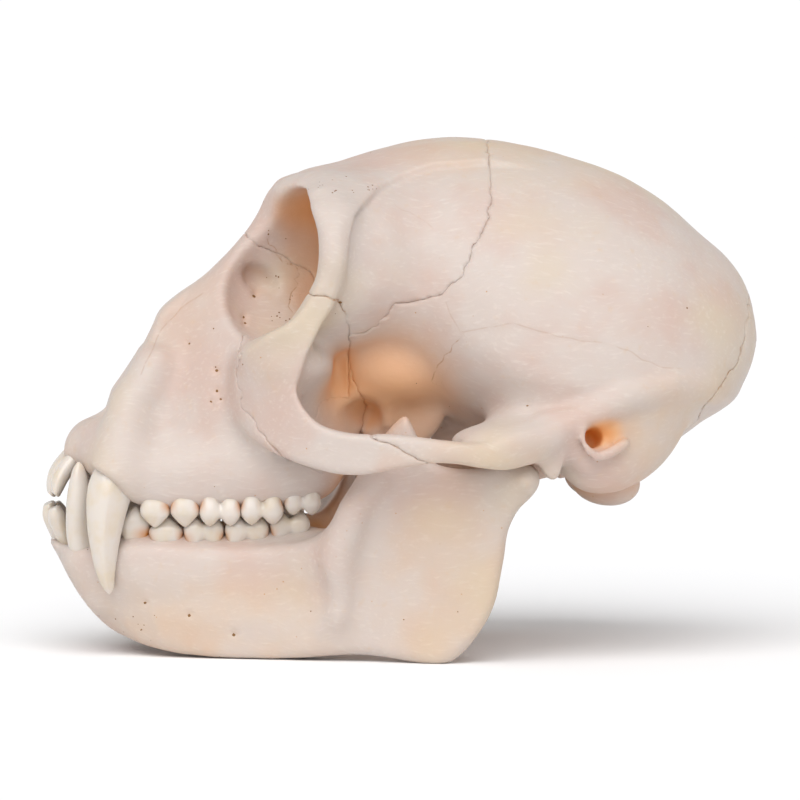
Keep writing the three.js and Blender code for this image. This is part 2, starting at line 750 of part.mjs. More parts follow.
// A molar or premolar. cusps says how many points it has along the row. down is 1 for upper teeth.
function cheekTooth({ x, y, base, tip, length, width, cusps, down, lean = 0, spread = 0, grow = 0 }) {
  const box = new THREE.BoxGeometry(2, 2, 2, 2 * cusps, 4, 2);
  const place = box.attributes.position;
  const tall = Math.abs(tip - base);
  for (let i = 0; i < place.count; i += 1) {
    const u = place.getX(i);
    const v = place.getY(i);
    const w = place.getZ(i); // 1 at the chewing face, -1 at the root
    const t = (w + 1) / 2;
    const taper = 1 - (t < 0.25 ? 0.14 : 0) - 0.16 * ramp(t, 0.55, 1);
    const long = taper - 0.05 * v * v;
    const wide = taper - 0.16 * u * u;
    const cusp = cusps === 1 ? 1 - u * u : Math.cos(Math.PI * (Math.abs(u) - 0.5)) ** 2;
    const outer = v * Math.sign(y) > 0 ? 1 : spread;
    const side = Math.abs(v) < 0.3 ? 0.25 : outer;
    const reach = w > 0.9 ? 1 - 0.26 * (1 - cusp * side) : t * 0.66;
    const height = w < -0.9 ? -0.9 : reach;
    place.setXYZ(
      i,
      x + u * (length / 2) * long + Math.sign(u) * grow,
      y + v * (width / 2) * wide + Math.sign(v) * grow + lean * height,
      base - down * (height * tall + (w > 0.9 ? grow : 0)),
    );
  }
  const made = down > 0 ? flipped(box) : box;
  return solid(made);
}

function flipped(geometry) {
  const other = geometry.clone();
  const index = other.index.array;
  for (let i = 0; i < index.length; i += 3) [index[i], index[i + 1]] = [index[i + 1], index[i]];
  return other;
}

// A pointed or chisel-shaped tooth swept along [x, y, z, half length, half width] rings, root first.
function sweptTooth(rings, sides, grow = 0) {
  const points = [];
  const faces = [];
  const centres = rings.map(([x, y, z]) => new THREE.Vector3(x, y, z));
  rings.forEach(([, , , halfLength, halfWidth], i) => {
    const ahead = centres[Math.min(i + 1, centres.length - 1)];
    const behind = centres[Math.max(i - 1, 0)];
    const along = ahead.clone().sub(behind).normalize();
    const wide = new THREE.Vector3(0, 1, 0).cross(along).normalize();
    const thick = along.clone().cross(wide);
    for (let s = 0; s < sides; s += 1) {
      const turn = (2 * Math.PI * s) / sides;
      const point = centres[i]
        .clone()
        .addScaledVector(wide, (halfLength + grow) * Math.cos(turn))
        .addScaledVector(thick, (halfWidth + grow) * Math.sin(turn));
      points.push(point.x, point.y, point.z);
    }
  });
  const last = rings.length - 1;
  for (let i = 0; i < last; i += 1)
    for (let s = 0; s < sides; s += 1) {
      const a = i * sides + s;
      const b = i * sides + ((s + 1) % sides);
      faces.push(a, b, b + sides, a, b + sides, a + sides);
    }
  for (let s = 1; s < sides - 1; s += 1) {
    faces.push(0, s + 1, s);
    faces.push(last * sides, last * sides + s, last * sides + s + 1);
  }
  const made = solid(
    new THREE.BufferGeometry().setAttribute("position", new THREE.Float32BufferAttribute(points, 3)).setIndex(faces),
  );
  if (made.volume() > 0) return made;
  for (let i = 0; i < faces.length; i += 3) [faces[i], faces[i + 1]] = [faces[i + 1], faces[i]];
  return solid(
    new THREE.BufferGeometry().setAttribute("position", new THREE.Float32BufferAttribute(points, 3)).setIndex(faces),
  );
}

const UPPER_CHEEK_TEETH = [
  { x: -37.7, y: 14.2, base: 24.2, tip: 19.8, length: 4.5, width: 4.8, cusps: 1 },
  { x: -33.2, y: 14.5, base: 24.4, tip: 19.7, length: 4.4, width: 5.4, cusps: 1 },
  { x: -27.9, y: 14.9, base: 24.6, tip: 19.9, length: 6, width: 6, cusps: 2 },
  { x: -21.6, y: 15.2, base: 24.8, tip: 20.1, length: 6.2, width: 6.2, cusps: 2 },
  { x: -15.5, y: 15, base: 25.2, tip: 21.4, length: 5.5, width: 5.6, cusps: 2 },
];
const LOWER_CHEEK_TEETH = [
  { x: -40.8, y: 12.3, base: 17.6, tip: 22.6, length: 4.4, width: 3.4, cusps: 1 },
  { x: -36.1, y: 12.9, base: 17.2, tip: 21.2, length: 4.8, width: 4.2, cusps: 1 },
  { x: -30.4, y: 13.2, base: 17, tip: 21.3, length: 5.9, width: 4.6, cusps: 2 },
  { x: -23.9, y: 13.5, base: 17.1, tip: 21.5, length: 6.4, width: 4.9, cusps: 2 },
  { x: -17.4, y: 13.6, base: 17.7, tip: 22.1, length: 5.9, width: 4.8, cusps: 2 },
];
const upperCanine = [
  [-42, 9.6, 34.5, 2, 1.5],
  [-43.6, 12.8, 29.4, 3.1, 2.3],
  [-44.4, 14.9, 24.4, 3.7, 2.5],
  [-45, 15.5, 18.4, 2.7, 2.1],
  [-45.4, 15.6, 13, 1.6, 1.5],
  [-45.2, 15.4, 10.8, 0.9, 0.8],
  [-45, 15.2, 9.9, 0.4, 0.4],
];
const lowerCanine = [
  [-47.6, 9, 10, 1.7, 1.6],
  [-49.2, 9.6, 15, 2, 1.9],
  [-49.6, 10.4, 20, 1.95, 1.9],
  [-49.6, 10.9, 25, 1.7, 1.6],
  [-49, 11, 28, 1.1, 1.1],
  [-48.7, 11, 29.6, 0.4, 0.5],
];
// Front teeth, each from its root to its cutting edge
const upperFront = [
  [[-46.6, 2.2, 32.4], [-50.4, 2.3, 28.8], [-53, 2.3, 26.2], [-54, 2.3, 23.8]],
  [[-46, 5.4, 32.4], [-49.4, 5.9, 28.8], [-51.4, 6.2, 26.2], [-52.2, 6.3, 24.4]],
].map((line, i) =>
  line.map((point, n) => [...point, [1.9, 1.7, 1.4, 0.5][n], [1.5, 2, 2.3, 2.2][n] - i * 0.3]),
);
const lowerFront = [
  [[-49, 1.3, 12], [-51.8, 1.4, 17], [-53.4, 1.5, 20.4], [-54.4, 1.5, 23]],
  [[-48.4, 4, 12], [-51, 4.4, 17], [-52.4, 4.6, 20.2], [-53.2, 4.7, 22.6]],
].map((line) => line.map((point, n) => [...point, [1.6, 1.7, 1.3, 0.4][n], [1.1, 1.2, 1.4, 1.4][n]]));

function bothSides(made) {
  return made.add(solid(mirrored(geometryOf(made))));
}

function upperTeeth(grow) {
  const teeth = [
    ...UPPER_CHEEK_TEETH.map((tooth) => cheekTooth({ ...tooth, down: 1, spread: 0.3, grow })),
    sweptTooth(upperCanine, 10, grow),
    ...upperFront.map((rings) => sweptTooth(rings, 8, grow)),
  ];
  return teeth.map(bothSides).reduce((sum, tooth) => sum.add(tooth));
}

function lowerTeeth(grow) {
  const teeth = [
    ...LOWER_CHEEK_TEETH.map((tooth) => cheekTooth({ ...tooth, down: -1, spread: 1, grow })),
    sweptTooth(lowerCanine, 10, grow),
    ...lowerFront.map((rings) => sweptTooth(rings, 8, grow)),
  ];
  return teeth.map(bothSides).reduce((sum, tooth) => sum.add(tooth));
}

// Where one bone ends and the next begins, as side outlines along the seams

const REACH = 45; // past the widest point of the head
// The cheekbone reaches inwards to the middle of the eye socket's floor, and less far under it.
const cheekHigh = {
  inside: 13.5,
  corners: [
    [-12.6, 56.2],
    [-8.8, 54.6],
    [-8, 45],
    [-8, 39],
    [-24.9, 39],
    [-25.4, 43],
    [-24.4, 52],
    [-20, 56],
  ],
};
const cheekLow = {
  inside: 18.4,
  corners: [
    [-8, 45],
    [-7, 34.9],
    [-2, 33],
    [3, 30],
    [3, 26],
    [-16, 26],
    [-18.4, 31],
    [-22, 34.4],
    [-24.8, 38],
    [-25.4, 43],
    [-25, 45],
  ],
};
const foreheadRegion = [
  [-30, 90],
  [-30, 64],
  [-22, 62.4],
  [-14, 58],
  [-9.4, 50.6],
  [1, 50.6],
  [8, 58],
  [6, 70],
  [12, 90],
];
const faceRegion = [
  [-60, 70],
  [-28, 66.6],
  [-22, 62.4],
  [-14, 58],
  [-9.4, 50],
  [-7.6, 42],
  [-5.6, 38],
  [-7.6, 30],
  [-7, 20],
  [-60, 15],
];
const backHigh = [
  [60, 58],
  [52.6, 54.4],
  [50.4, 44.4],
  [46.4, 40.2],
  [44, 36],
  [60, 30],
];
const backLow = [
  [60, 42],
  [47.4, 41.4],
  [34, 33],
  [24.6, 32],
  [23.6, 15],
  [60, 15],
];
const BASE_HALF = 13.6; // half the width of the back bone's part under the head

const nearCheek = (grow) =>
  prism(cheekHigh.corners, cheekHigh.inside, REACH, grow).add(prism(cheekLow.corners, cheekLow.inside, REACH, grow));
const cheeks = (grow) => bothSides(nearCheek(grow));
const whole = (region, grow) => prism(region, -REACH, REACH, grow);
const back = (grow) => whole(backHigh, grow).add(prism(backLow, -BASE_HALF, BASE_HALF, grow));

// The stretch of a bone's surface from one [x, z] corner to the other, cut to its region, then thinned
function patch(name, formula, from, to, half, cut, nearest = -half) {
  const { cell, faces } = NET[name];
  const rows = Math.ceil(half / cell) + 0.5;
  const start = nearest === -half ? -rows * cell : nearest;
  const made = solid(net(formula, [from[0], start, from[1]], [to[0], rows * cell, to[1]], cell));
  return solid(thinned(geometryOf(cut(made)), faces));
}

const forehead = patch("forehead", cranium, [-28, 46], [14, 84], 32, (made) =>
  made.intersect(whole(foreheadRegion, 0)).subtract(whole(faceRegion, GAP)).subtract(cheeks(GAP)),
);
const middle = patch("braincase", cranium, [-12, 20], [60, 84], 38, (made) =>
  made
    .subtract(whole(foreheadRegion, GAP))
    .subtract(whole(faceRegion, GAP))
    .subtract(back(GAP))
    .subtract(cheeks(GAP)),
);
const occiput = patch("occiput", cranium, [18, 18], [60, 62], 38, (made) => made.intersect(back(0)));
const face = patch("face", cranium, [-56, 18], [0, 72], 28, (made) =>
  made.intersect(whole(faceRegion, 0)).subtract(cheeks(GAP)),
);
const cheekbone = patch("cheek", cranium, [-30, 22], [8, 62], 39, (made) => made.intersect(nearCheek(0)), 8.75);
const lowerJaw = patch("jaw", jaw, [-58, -3.1], [24, 42], 33, (made) => made);

const BONE = { roughness: 0.55, metalness: 0 };
const bones = {
  forehead: { made: forehead, color: 0xeddfce },
  braincase: { made: middle, color: 0xeadccb },
  occiput: { made: occiput, color: 0xe8d8c4 },
  face: { made: face.add(upperTeeth(0)), color: 0xeee0cf },
  cheekbone_right: { made: cheekbone, color: 0xf0e4d6 },
  lower_jaw: { made: lowerJaw.add(lowerTeeth(0)).subtract(upperTeeth(GAP)), color: 0xebdac4 },
};

const skull = new THREE.Group();
for (const [name, { made, color }] of Object.entries(bones)) {
  const mesh = new THREE.Mesh(geometryOf(made), new THREE.MeshStandardMaterial({ color, ...BONE }));
  mesh.name = name;
  skull.add(mesh);
}
const right = skull.getObjectByName("cheekbone_right");
const left = new THREE.Mesh(mirrored(right.geometry), right.material.clone());
left.name = "cheekbone_left";
skull.add(left);

// The origin is on the floor, under the middle of the head.
const extent = new THREE.Box3().setFromObject(skull);
skull.position.set(-(extent.min.x + extent.max.x) / 2, 0, -extent.min.z);

export default skull;
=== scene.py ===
"""A life-size monkey skull, a male guenon, resting on its lower jaw with the teeth closed.

The muzzle points along -X, +Z is up and Y = 0 is the midline, so the animal's left side is -Y. Sizes are
in millimetres until a mesh is made. Each bone and tooth is a formula, a number for every point of space
that is negative inside it. The formulas are written for one side and read at |y|, and a net of faces is
laid over the surface where the number is zero.
"""

import logging
import math
from collections.abc import Callable, Sequence
from dataclasses import dataclass, field
from enum import Enum
from functools import reduce

import bpy
import numpy as np
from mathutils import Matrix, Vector

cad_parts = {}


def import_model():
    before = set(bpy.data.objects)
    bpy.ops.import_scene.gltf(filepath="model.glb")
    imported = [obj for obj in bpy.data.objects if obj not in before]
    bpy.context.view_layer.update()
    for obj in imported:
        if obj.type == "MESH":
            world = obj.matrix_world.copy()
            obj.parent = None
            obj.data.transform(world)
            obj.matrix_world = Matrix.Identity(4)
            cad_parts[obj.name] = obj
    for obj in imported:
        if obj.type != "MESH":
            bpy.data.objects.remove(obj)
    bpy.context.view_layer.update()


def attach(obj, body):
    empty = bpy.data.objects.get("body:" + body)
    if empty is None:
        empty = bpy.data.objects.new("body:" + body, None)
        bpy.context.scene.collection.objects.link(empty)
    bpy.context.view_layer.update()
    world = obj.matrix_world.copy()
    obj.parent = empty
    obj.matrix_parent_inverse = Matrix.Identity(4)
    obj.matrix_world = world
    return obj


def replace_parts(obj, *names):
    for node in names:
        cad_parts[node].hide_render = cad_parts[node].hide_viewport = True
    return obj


Array = np.ndarray
Tree = bpy.types.NodeTree
Socket = bpy.types.NodeSocket
Form = Callable[[Array, Array, Array], Array]
Point = tuple[float, float, float]

LOG = logging.getLogger("skull")
MM = 0.001
AHEAD = -0.31  # the head's middle lies this far from the place that the formulas count from
SOCKET_LINE = 24.7  # height of the upper tooth sockets' rim over the floor
JAW_LINE = 17.2  # height of the lower tooth sockets' rim
SEED = 20


# Blending


def ramp(value: Array, start: float, end: float) -> Array:
    """A smooth step from 0 at start to 1 at end.

    Args:
        value: Where to read it.
        start: Value at which the step begins.
        end: Value at which it is complete.

    Returns:
        Numbers from 0 to 1.
    """
    t = np.clip((value - start) / (end - start), 0, 1)
    return t * t * (3 - 2 * t)


def mix(a: Array, b: Array, t: Array) -> Array:
    """The value a at t = 0 and b at t = 1."""
    return a + (b - a) * t


def low(a: Array, b: Array, k: float) -> Array:
    """The smaller of two numbers, rounded over where they are within k of each other."""
    h = np.maximum(k - np.abs(a - b), 0) / k
    return np.minimum(a, b) - h * h * (k / 4)


def high(a: Array, b: Array, k: float) -> Array:
    """The larger of two numbers, rounded over where they are within k of each other."""
    return -low(-a, -b, k)


def join(k: float, *forms: Form) -> Form:
    """One body out of several, with fillets.

    Args:
        k: How far the fillets reach.
        forms: The bodies.

    Returns:
        The joined body.
    """
    return lambda x, y, z: reduce(lambda a, b: low(a, b, k), (form(x, y, z) for form in forms))


def carve(k: float, body: Form, *hollows: Form) -> Form:
    """A body with hollows cut out of it.

    Args:
        k: How far the rounding of the cuts' edges reaches.
        body: What is cut.
        hollows: What is taken away.

    Returns:
        The body that is left.
    """
    return lambda x, y, z: reduce(lambda a, b: high(a, -b(x, y, z), k), hollows, body(x, y, z))


def wander(at: Array, step: float, seed: int) -> Array:
    """An irregular zigzag between -1 and 1.

    Args:
        at: Places along the line.
        step: Length of one stroke of the zigzag.
        seed: Which zigzag.

    Returns:
        The zigzag's value at each place.
    """
    knots = np.random.default_rng(seed).uniform(-1, 1, 256)
    return np.interp((at / step) % 255, np.arange(256), knots).astype(np.float32)


def cloud(points: Array, size: float, seed: int) -> Array:
    """Smooth noise between -1 and 1 at a set of points.

    Args:
        points: Places, one row each.
        size: Width of a blob of the noise.
        seed: Which noise.

    Returns:
        One number for each point.
    """
    count = 32
    knots = np.random.default_rng(seed).uniform(-1, 1, (count, count, count))
    scaled = points / size
    base = np.floor(scaled).astype(int)
    t = scaled - base
    t = t * t * (3 - 2 * t)
    total = np.zeros(len(points))
    for corner in range(8):
        step = np.array([corner & 1, (corner >> 1) & 1, corner >> 2])
        i, j, k = ((base + step) % count).T
        total += knots[i, j, k] * np.prod(np.where(step, t, 1 - t), axis=1)
    return total


# Forms


@dataclass(frozen=True)
class Curve:
    """A smooth line through (place, value) stations, as a function of the place."""

    stations: tuple[tuple[float, float], ...]

    def __call__(self, at: Array) -> Array:
        """The line's value.

        Args:
            at: Places to read it at.

        Returns:
            The values there, and past either end the end's own.
        """
        places, values = np.array(self.stations, dtype=np.float32).T
        before = np.maximum(np.arange(len(places)) - 1, 0)
        after = np.minimum(np.arange(len(places)) + 1, len(places) - 1)
        slopes = (values[after] - values[before]) / (places[after] - places[before])
        at = np.clip(at, places[0], places[-1])
        i = np.clip(np.searchsorted(places, at, side="right") - 1, 0, len(places) - 2)
        span = places[i + 1] - places[i]
        t = (at - places[i]) / span
        u = 1 - t
        ends = u * u * (1 + 2 * t) * values[i] + t * t * (1 + 2 * u) * values[i + 1]
        return ends + t * u * span * (u * slopes[i] - t * slopes[i + 1])


def curve(*stations: tuple[float, float]) -> Curve:
    """A Curve through the given stations."""
    return Curve(stations)


@dataclass(frozen=True)
class Outline:
    """A closed outline seen from the side, through its (x, z) corners.

    Its number is the distance from the outline in that view. With steps above 1 it runs smoothly through
    the corners, and with 1 it runs straight from one to the next.
    """

    corners: tuple[tuple[float, float], ...]
    steps: int = 6

    def ring(self) -> Array:
        """The points that the outline is drawn through, as rows of x and z.

        Returns:
            The points, in order round the outline.
        """
        p1 = np.array(self.corners)
        p0, p2, p3 = np.roll(p1, 1, 0), np.roll(p1, -1, 0), np.roll(p1, -2, 0)
        rows = []
        for step in range(self.steps):
            t = step / self.steps
            spread = (2 * p0 - 5 * p1 + 4 * p2 - p3) * t**2 + (3 * p1 - p0 - 3 * p2 + p3) * t**3
            rows.append(p1 + 0.5 * ((p2 - p0) * t + spread))
        return np.stack(rows, axis=1).reshape(-1, 2)

    def __call__(self, x: Array, y: Array, z: Array) -> Array:
        """Distance from the outline, negative inside.

        Args:
            x: Places along the head.
            y: Not read: the outline is the same at every depth.
            z: Heights.

        Returns:
            The distances.
        """
        ring = self.ring().astype(np.float32)
        nearest = np.full(np.broadcast(x, z).shape, 1e6, dtype=np.float32)
        inside = np.zeros(nearest.shape, dtype=bool)
        for (ax, az), (bx, bz) in zip(ring, np.roll(ring, -1, 0)):
            dx, dz = bx - ax, bz - az
            t = np.clip(((x - ax) * dx + (z - az) * dz) / max(dx * dx + dz * dz, 1e-9), 0, 1)
            nearest = np.minimum(nearest, (x - ax - t * dx) ** 2 + (z - az - t * dz) ** 2)
            if dz:
                inside ^= ((az > z) != (bz > z)) & (x < ax + (z - az) / dz * dx)
        return np.where(inside, -1, 1) * np.sqrt(nearest)


def outline(*corners: tuple[float, float], steps: int = 6) -> Outline:
    """An Outline through the given corners."""
    return Outline(corners, steps)


@dataclass(frozen=True)
class Ellipsoid:
    """An ellipsoid whose first radius lies along the direction axis, and whose second is level."""

    centre: Point
    radii: Point
    axis: Point = (1, 0, 0)

    def __call__(self, x: Array, y: Array, z: Array) -> Array:
        """Roughly the distance from the surface, negative inside.

        Args:
            x: Places along the head.
            y: Places from the midline.
            z: Heights over the floor.

        Returns:
            The distances.
        """
        a = np.array(self.axis) / np.linalg.norm(self.axis)
        b = np.array([-a[1], a[0], 0]) / math.hypot(a[0], a[1])
        c = np.cross(a, b)
        p = (x - self.centre[0], y - self.centre[1], z - self.centre[2])
        q = [sum(float(v) * part for v, part in zip(line, p)) / r for line, r in zip((a, b, c), self.radii)]
        size = np.sqrt(q[0] ** 2 + q[1] ** 2 + q[2] ** 2)
        slope = np.sqrt(sum((part / r) ** 2 for part, r in zip(q, self.radii)))
        return size * (size - 1) / np.maximum(slope, 1e-4)


@dataclass(frozen=True)
class Bar:
    """A round bar through (x, y, z, radius) points."""

    points: tuple[tuple[float, float, float, float], ...]

    def __call__(self, x: Array, y: Array, z: Array) -> Array:
        """Distance from the bar's surface, negative inside.

        Args:
            x: Places along the head.
            y: Places from the midline.
            z: Heights over the floor.

        Returns:
            The distances.
        """
        nearest = None
        for (ax, ay, az, ar), (bx, by, bz, br) in zip(self.points, self.points[1:]):
            dx, dy, dz = bx - ax, by - ay, bz - az
            along = (x - ax) * dx + (y - ay) * dy + (z - az) * dz
            t = np.clip(along / (dx * dx + dy * dy + dz * dz), 0, 1)
            away = np.sqrt((x - ax - t * dx) ** 2 + (y - ay - t * dy) ** 2 + (z - az - t * dz) ** 2)
            number = away - mix(ar, br, t)
            nearest = number if nearest is None else np.minimum(nearest, number)
        return nearest


def bar(*points: tuple[float, float, float, float]) -> Bar:
    """A Bar through the given points."""
    return Bar(points)


@dataclass(frozen=True)
class Plate:
    """A bent plate with a side outline.

    middle gives its distance from the midline and thickness its thickness, both as functions of x and z.
    """

    side: Outline
    middle: Callable[[Array, Array], Array]
    thickness: Callable[[Array, Array], Array]
    edge: float

    def __call__(self, x: Array, y: Array, z: Array) -> Array:
        """Distance from the plate's surface, negative inside."""
        half = self.thickness(x, z) / 2
        return high(self.side(x, y, z), np.abs(y - self.middle(x, z)) - half, self.edge)


@dataclass(frozen=True)
class Loft:
    """A tooth's shaft through (x, y, z, half length, half width) rings, root first.

    blade narrows its rear edge, and flutes raises that many blunt ridges along it.
    """

    rings: tuple[tuple[float, float, float, float, float], ...]
    blade: float = 0.0
    flutes: int = 0

    def __call__(self, x: Array, y: Array, z: Array) -> Array:
        """Roughly the distance from the surface, negative inside.

        Args:
            x: Places along the head.
            y: Places from the midline.
            z: Heights over the floor.

        Returns:
            The distances.
        """
        rings = np.array(self.rings, dtype=np.float32)
        span = rings[-1] - rings[0]
        dx, dz = span[[0, 2]] / math.hypot(span[0], span[2])
        back, side = abs(dz), -dx * math.copysign(1, dz)
        along = (rings[:, 0] - rings[0, 0]) * dx + (rings[:, 2] - rings[0, 2]) * dz
        across = (rings[:, 0] - rings[0, 0]) * back + (rings[:, 2] - rings[0, 2]) * side
        at = (x - rings[0, 0]) * dx + (z - rings[0, 2]) * dz
        rows = (across, *rings[:, [1, 3, 4]].T)
        centre, depth, length, width = (Curve(tuple(zip(along, row))) for row in rows)
        long, wide = length(at), width(at)
        u = ((x - rings[0, 0]) * back + (z - rings[0, 2]) * side - centre(at)) / long
        v = (y - depth(at)) / wide
        v = v * (1 + self.blade * np.clip(u, 0, 1))
        size = np.sqrt(u * u + v * v)
        if self.flutes:
            size = size * (1 - 0.06 * np.cos(self.flutes * np.arctan2(v, u)))
        shaft = (size - 1) * np.minimum(long, wide)
        return high(shaft, np.abs(at - along[-1] / 2) - along[-1] / 2, 0.3)


# Head


@dataclass(frozen=True)
class CraniumForm:
    """The cranium without its teeth, as one body."""

    arch_reach: float = 35.4  # from the midline to the outside of the cheek arch, at its widest
    braincase_half: float = 28.6  # half the width of the braincase above the ears
    eye_span: float = 22.6
    eye_height: float = 22.0
    eye_depth: float = 16.5
    wall: float = 2.5  # bone round the eye socket
    palate_half: float = 9.2

    def braincase(self, x: Array, y: Array, z: Array) -> Array:
        """The egg-shaped braincase, lofted along the head.

        Args:
            x: Places along the head.
            y: Places from the midline.
            z: Heights over the floor.

        Returns:
            The distance from its surface, negative inside.
        """
        top = curve(
            (-17, 71.6), (-14.4, 73.2), (-9, 74.8), (-3, 76.7), (3, 78), (9, 78.4), (17, 77.6), (25, 75.7),
            (33, 72.9), (40, 69), (46, 63.8), (50.4, 59.8), (53.4, 55), (55.1, 48.6),
        )(x)
        bottom = curve(
            (-17, 60), (-10, 48), (-4, 42.5), (2, 38), (9, 34), (17, 31), (25, 29.4), (33, 28.4), (40, 30.6),
            (46, 34.6), (50.4, 37.6), (53.4, 42.6), (55.1, 48.6),
        )(x)
        widest = curve(
            (-17, 66), (-8, 61.5), (2, 56), (9, 50.5), (17, 45.4), (25, 42.6), (40, 43), (55, 47)
        )(x)
        half = curve(
            (-17, 9), (-10, 16.8), (-4, 20.2), (2, 22.6), (9, 25.4), (17, 27.8), (25, self.braincase_half),
            (33, 28), (40, 25.6), (46, 21.6), (50.4, 16.6), (53.4, 10.4), (55.1, 1),
        )(x)
        half = np.maximum(half, 0.5)
        height = np.maximum(np.where(z > widest, top - widest, widest - bottom), 0.5)
        size = np.sqrt((y / half) ** 2 + ((z - widest) / height) ** 2)
        return high((size - 1) * np.minimum(half, height), np.abs(x - 19) - 36.1, 2.5)

    def muzzle(self, x: Array, y: Array, z: Array) -> Array:
        """The wedge of the upper jaw and nose.

        Args:
            x: Places along the head.
            y: Places from the midline.
            z: Heights over the floor.

        Returns:
            The distance from its surface, negative inside.
        """
        line = SOCKET_LINE
        side = outline(
            (-50.8, 30.2), (-49.2, 32.8), (-45.7, 36.2), (-42, 40.5), (-38.3, 48.9), (-36, 52.9),
            (-29.1, 58.1), (-23.6, 64), (-19.9, 69.5), (-14.4, 72.6), (-6, 71), (-2, 58), (-3, 42), (-8, 32),
            (-9.6, 27.2), (-14, line + 1), (-24.8, line), (-35.3, line - 0.3), (-40.5, line + 0.7),
            (-43.6, 27.2), (-47, 29.6),
        )
        below = curve(
            (-52, 6.5), (-49, 9.6), (-46, 13.4), (-43, 15), (-37, 15.4), (-28, 16.8), (-20, 17.6), (-14, 17),
            (-9, 14), (-4, 10),
        )(x)
        middle = curve(
            (-50, 6), (-45, 9.6), (-40, 11.8), (-34, 13), (-28, 15.6), (-22, 17.4), (-16, 16.4), (-8, 12)
        )(x)
        above = curve(
            (-50, 5.4), (-46, 7.4), (-42, 8), (-38, 7.2), (-32, 5.6), (-25, 4), (-20, 3.6), (-16, 4.4),
            (-8, 8),
        )(x)
        t = np.clip((z - line) / (mix(36, 66, ramp(x, -50, -20)) - line), 0, 1)
        u = 1 - t
        half = u * u * below + 2 * t * u * (2 * middle - (below + above) / 2) + t * t * above
        return high(side(x, y, z), (y - half) * 0.86, 2.4)

    def eye(self) -> Form:
        """The hollow of the eye socket."""
        return Ellipsoid(
            (-13.2, 14.1, 59.7), (self.eye_depth, self.eye_span / 2, self.eye_height / 2), (0.93, -0.36, -0.1)
        )

    def eye_cup(self, x: Array, y: Array, z: Array) -> Array:
        """The cup of bone round the eye socket."""
        ahead = -0.88 * (x + 17.2) + 0.383 * (y - 15.5) + 0.281 * (z - 60.3)
        return high(self.eye()(x, y, z) - self.wall, ahead - 0.4, 2)

    def cheek_thickness(self, x: Array, z: Array) -> Array:
        """Thickness of the cheekbone, thinner along the arch."""
        return mix(mix(5.2, 3.6, ramp(x, -16, -4)), 4.4, ramp(z, 42, 52))

    def cheek_middle(self, x: Array, z: Array) -> Array:
        """Distance of the cheekbone's middle from the midline.

        Args:
            x: Places along the head.
            z: Heights over the floor.

        Returns:
            The distances.
        """
        arch = curve(
            (-27, 17.5), (-23, 23.5), (-18, 28), (-13, 30.8), (-6, 33.4), (0, 34.8), (5, self.arch_reach),
            (11, 34.6), (16, 32.4), (21, 29.4),
        )(x)
        pillar = curve((48, 29), (56, 29.2), (62, 28.6), (67, 26.4), (71, 22))(z)
        return mix(arch, pillar, ramp(z, 42, 55)) - self.cheek_thickness(x, z) / 2

    def cheek(self) -> Form:
        """Cheekbone and arch: one bent plate from the brow to the ear."""
        side = outline(
            (-13.8, 68.5), (-12.8, 64), (-12.8, 58.5), (-17, 52), (-22, 48.6), (-25.6, 44), (-25, 36),
            (-20.4, 31.8), (-12.6, 29.1), (-7.5, 28.7), (-1, 29.8), (5, 30.6), (13, 29.6), (20, 31), (20, 34),
            (12, 33.2), (5, 33.8), (-2, 34.7), (-9, 34.8), (-13.6, 36.2), (-16.3, 39.6), (-16.4, 43),
            (-13.4, 50), (-9.8, 56), (-8.8, 62), (-7.4, 67.6),
        )
        return Plate(side, self.cheek_middle, self.cheek_thickness, 1.3)

    def wing(self) -> Form:
        """The thin plate of bone that hangs behind the last molar."""
        side = outline((-6.8, 27), (-4, 24.4), (-1, 24.6), (1.6, 30), (6, 36), (0, 40), (-4.6, 37))
        return Plate(side, lambda x, z: 8.6 + (x + 9) * 0.16, lambda x, z: 3.4 + 0 * x, 2)

    def base(self) -> list[Form]:
        """What hangs under the braincase: ear tube, crests, and the joints for jaw and neck.

        Returns:
            The bodies, to be joined to it.
        """
        return [
            bar(
                (14, 31.2, 32.4, 1.9), (19, 29.3, 33.4, 1.9), (25, 28, 36.4, 1.6), (32, 27.4, 39.6, 1.4),
                (39, 25, 41.6, 1.4), (45, 20, 41, 1.5), (48.6, 12.4, 40, 1.4), (50.4, 0, 40, 1.4),
            ),
            bar((19, 12.5, 30.6, 4.2), (23.5, 19, 31.6, 3.6), (26.6, 24.6, 32.4, 3)),
            bar((-2, 0, 36, 4.6), (10, 0, 33.4, 4.8), (24, 0, 31, 5.2)),
            Ellipsoid((-0.6, 10, 43.6), (10, 7.6, 6)),
            bar((-9.4, 13.4, 38.4, 0.9), (-6.6, 13.6, 39.8, 1), (-3.4, 12.8, 38.8, 1), (-2.6, 12, 35.6, 0.9)),
            Ellipsoid((31, 8.2, 26), (5.6, 2.9, 3.7), (0.88, 0.46, -0.1)),
            self.wing(),
        ]

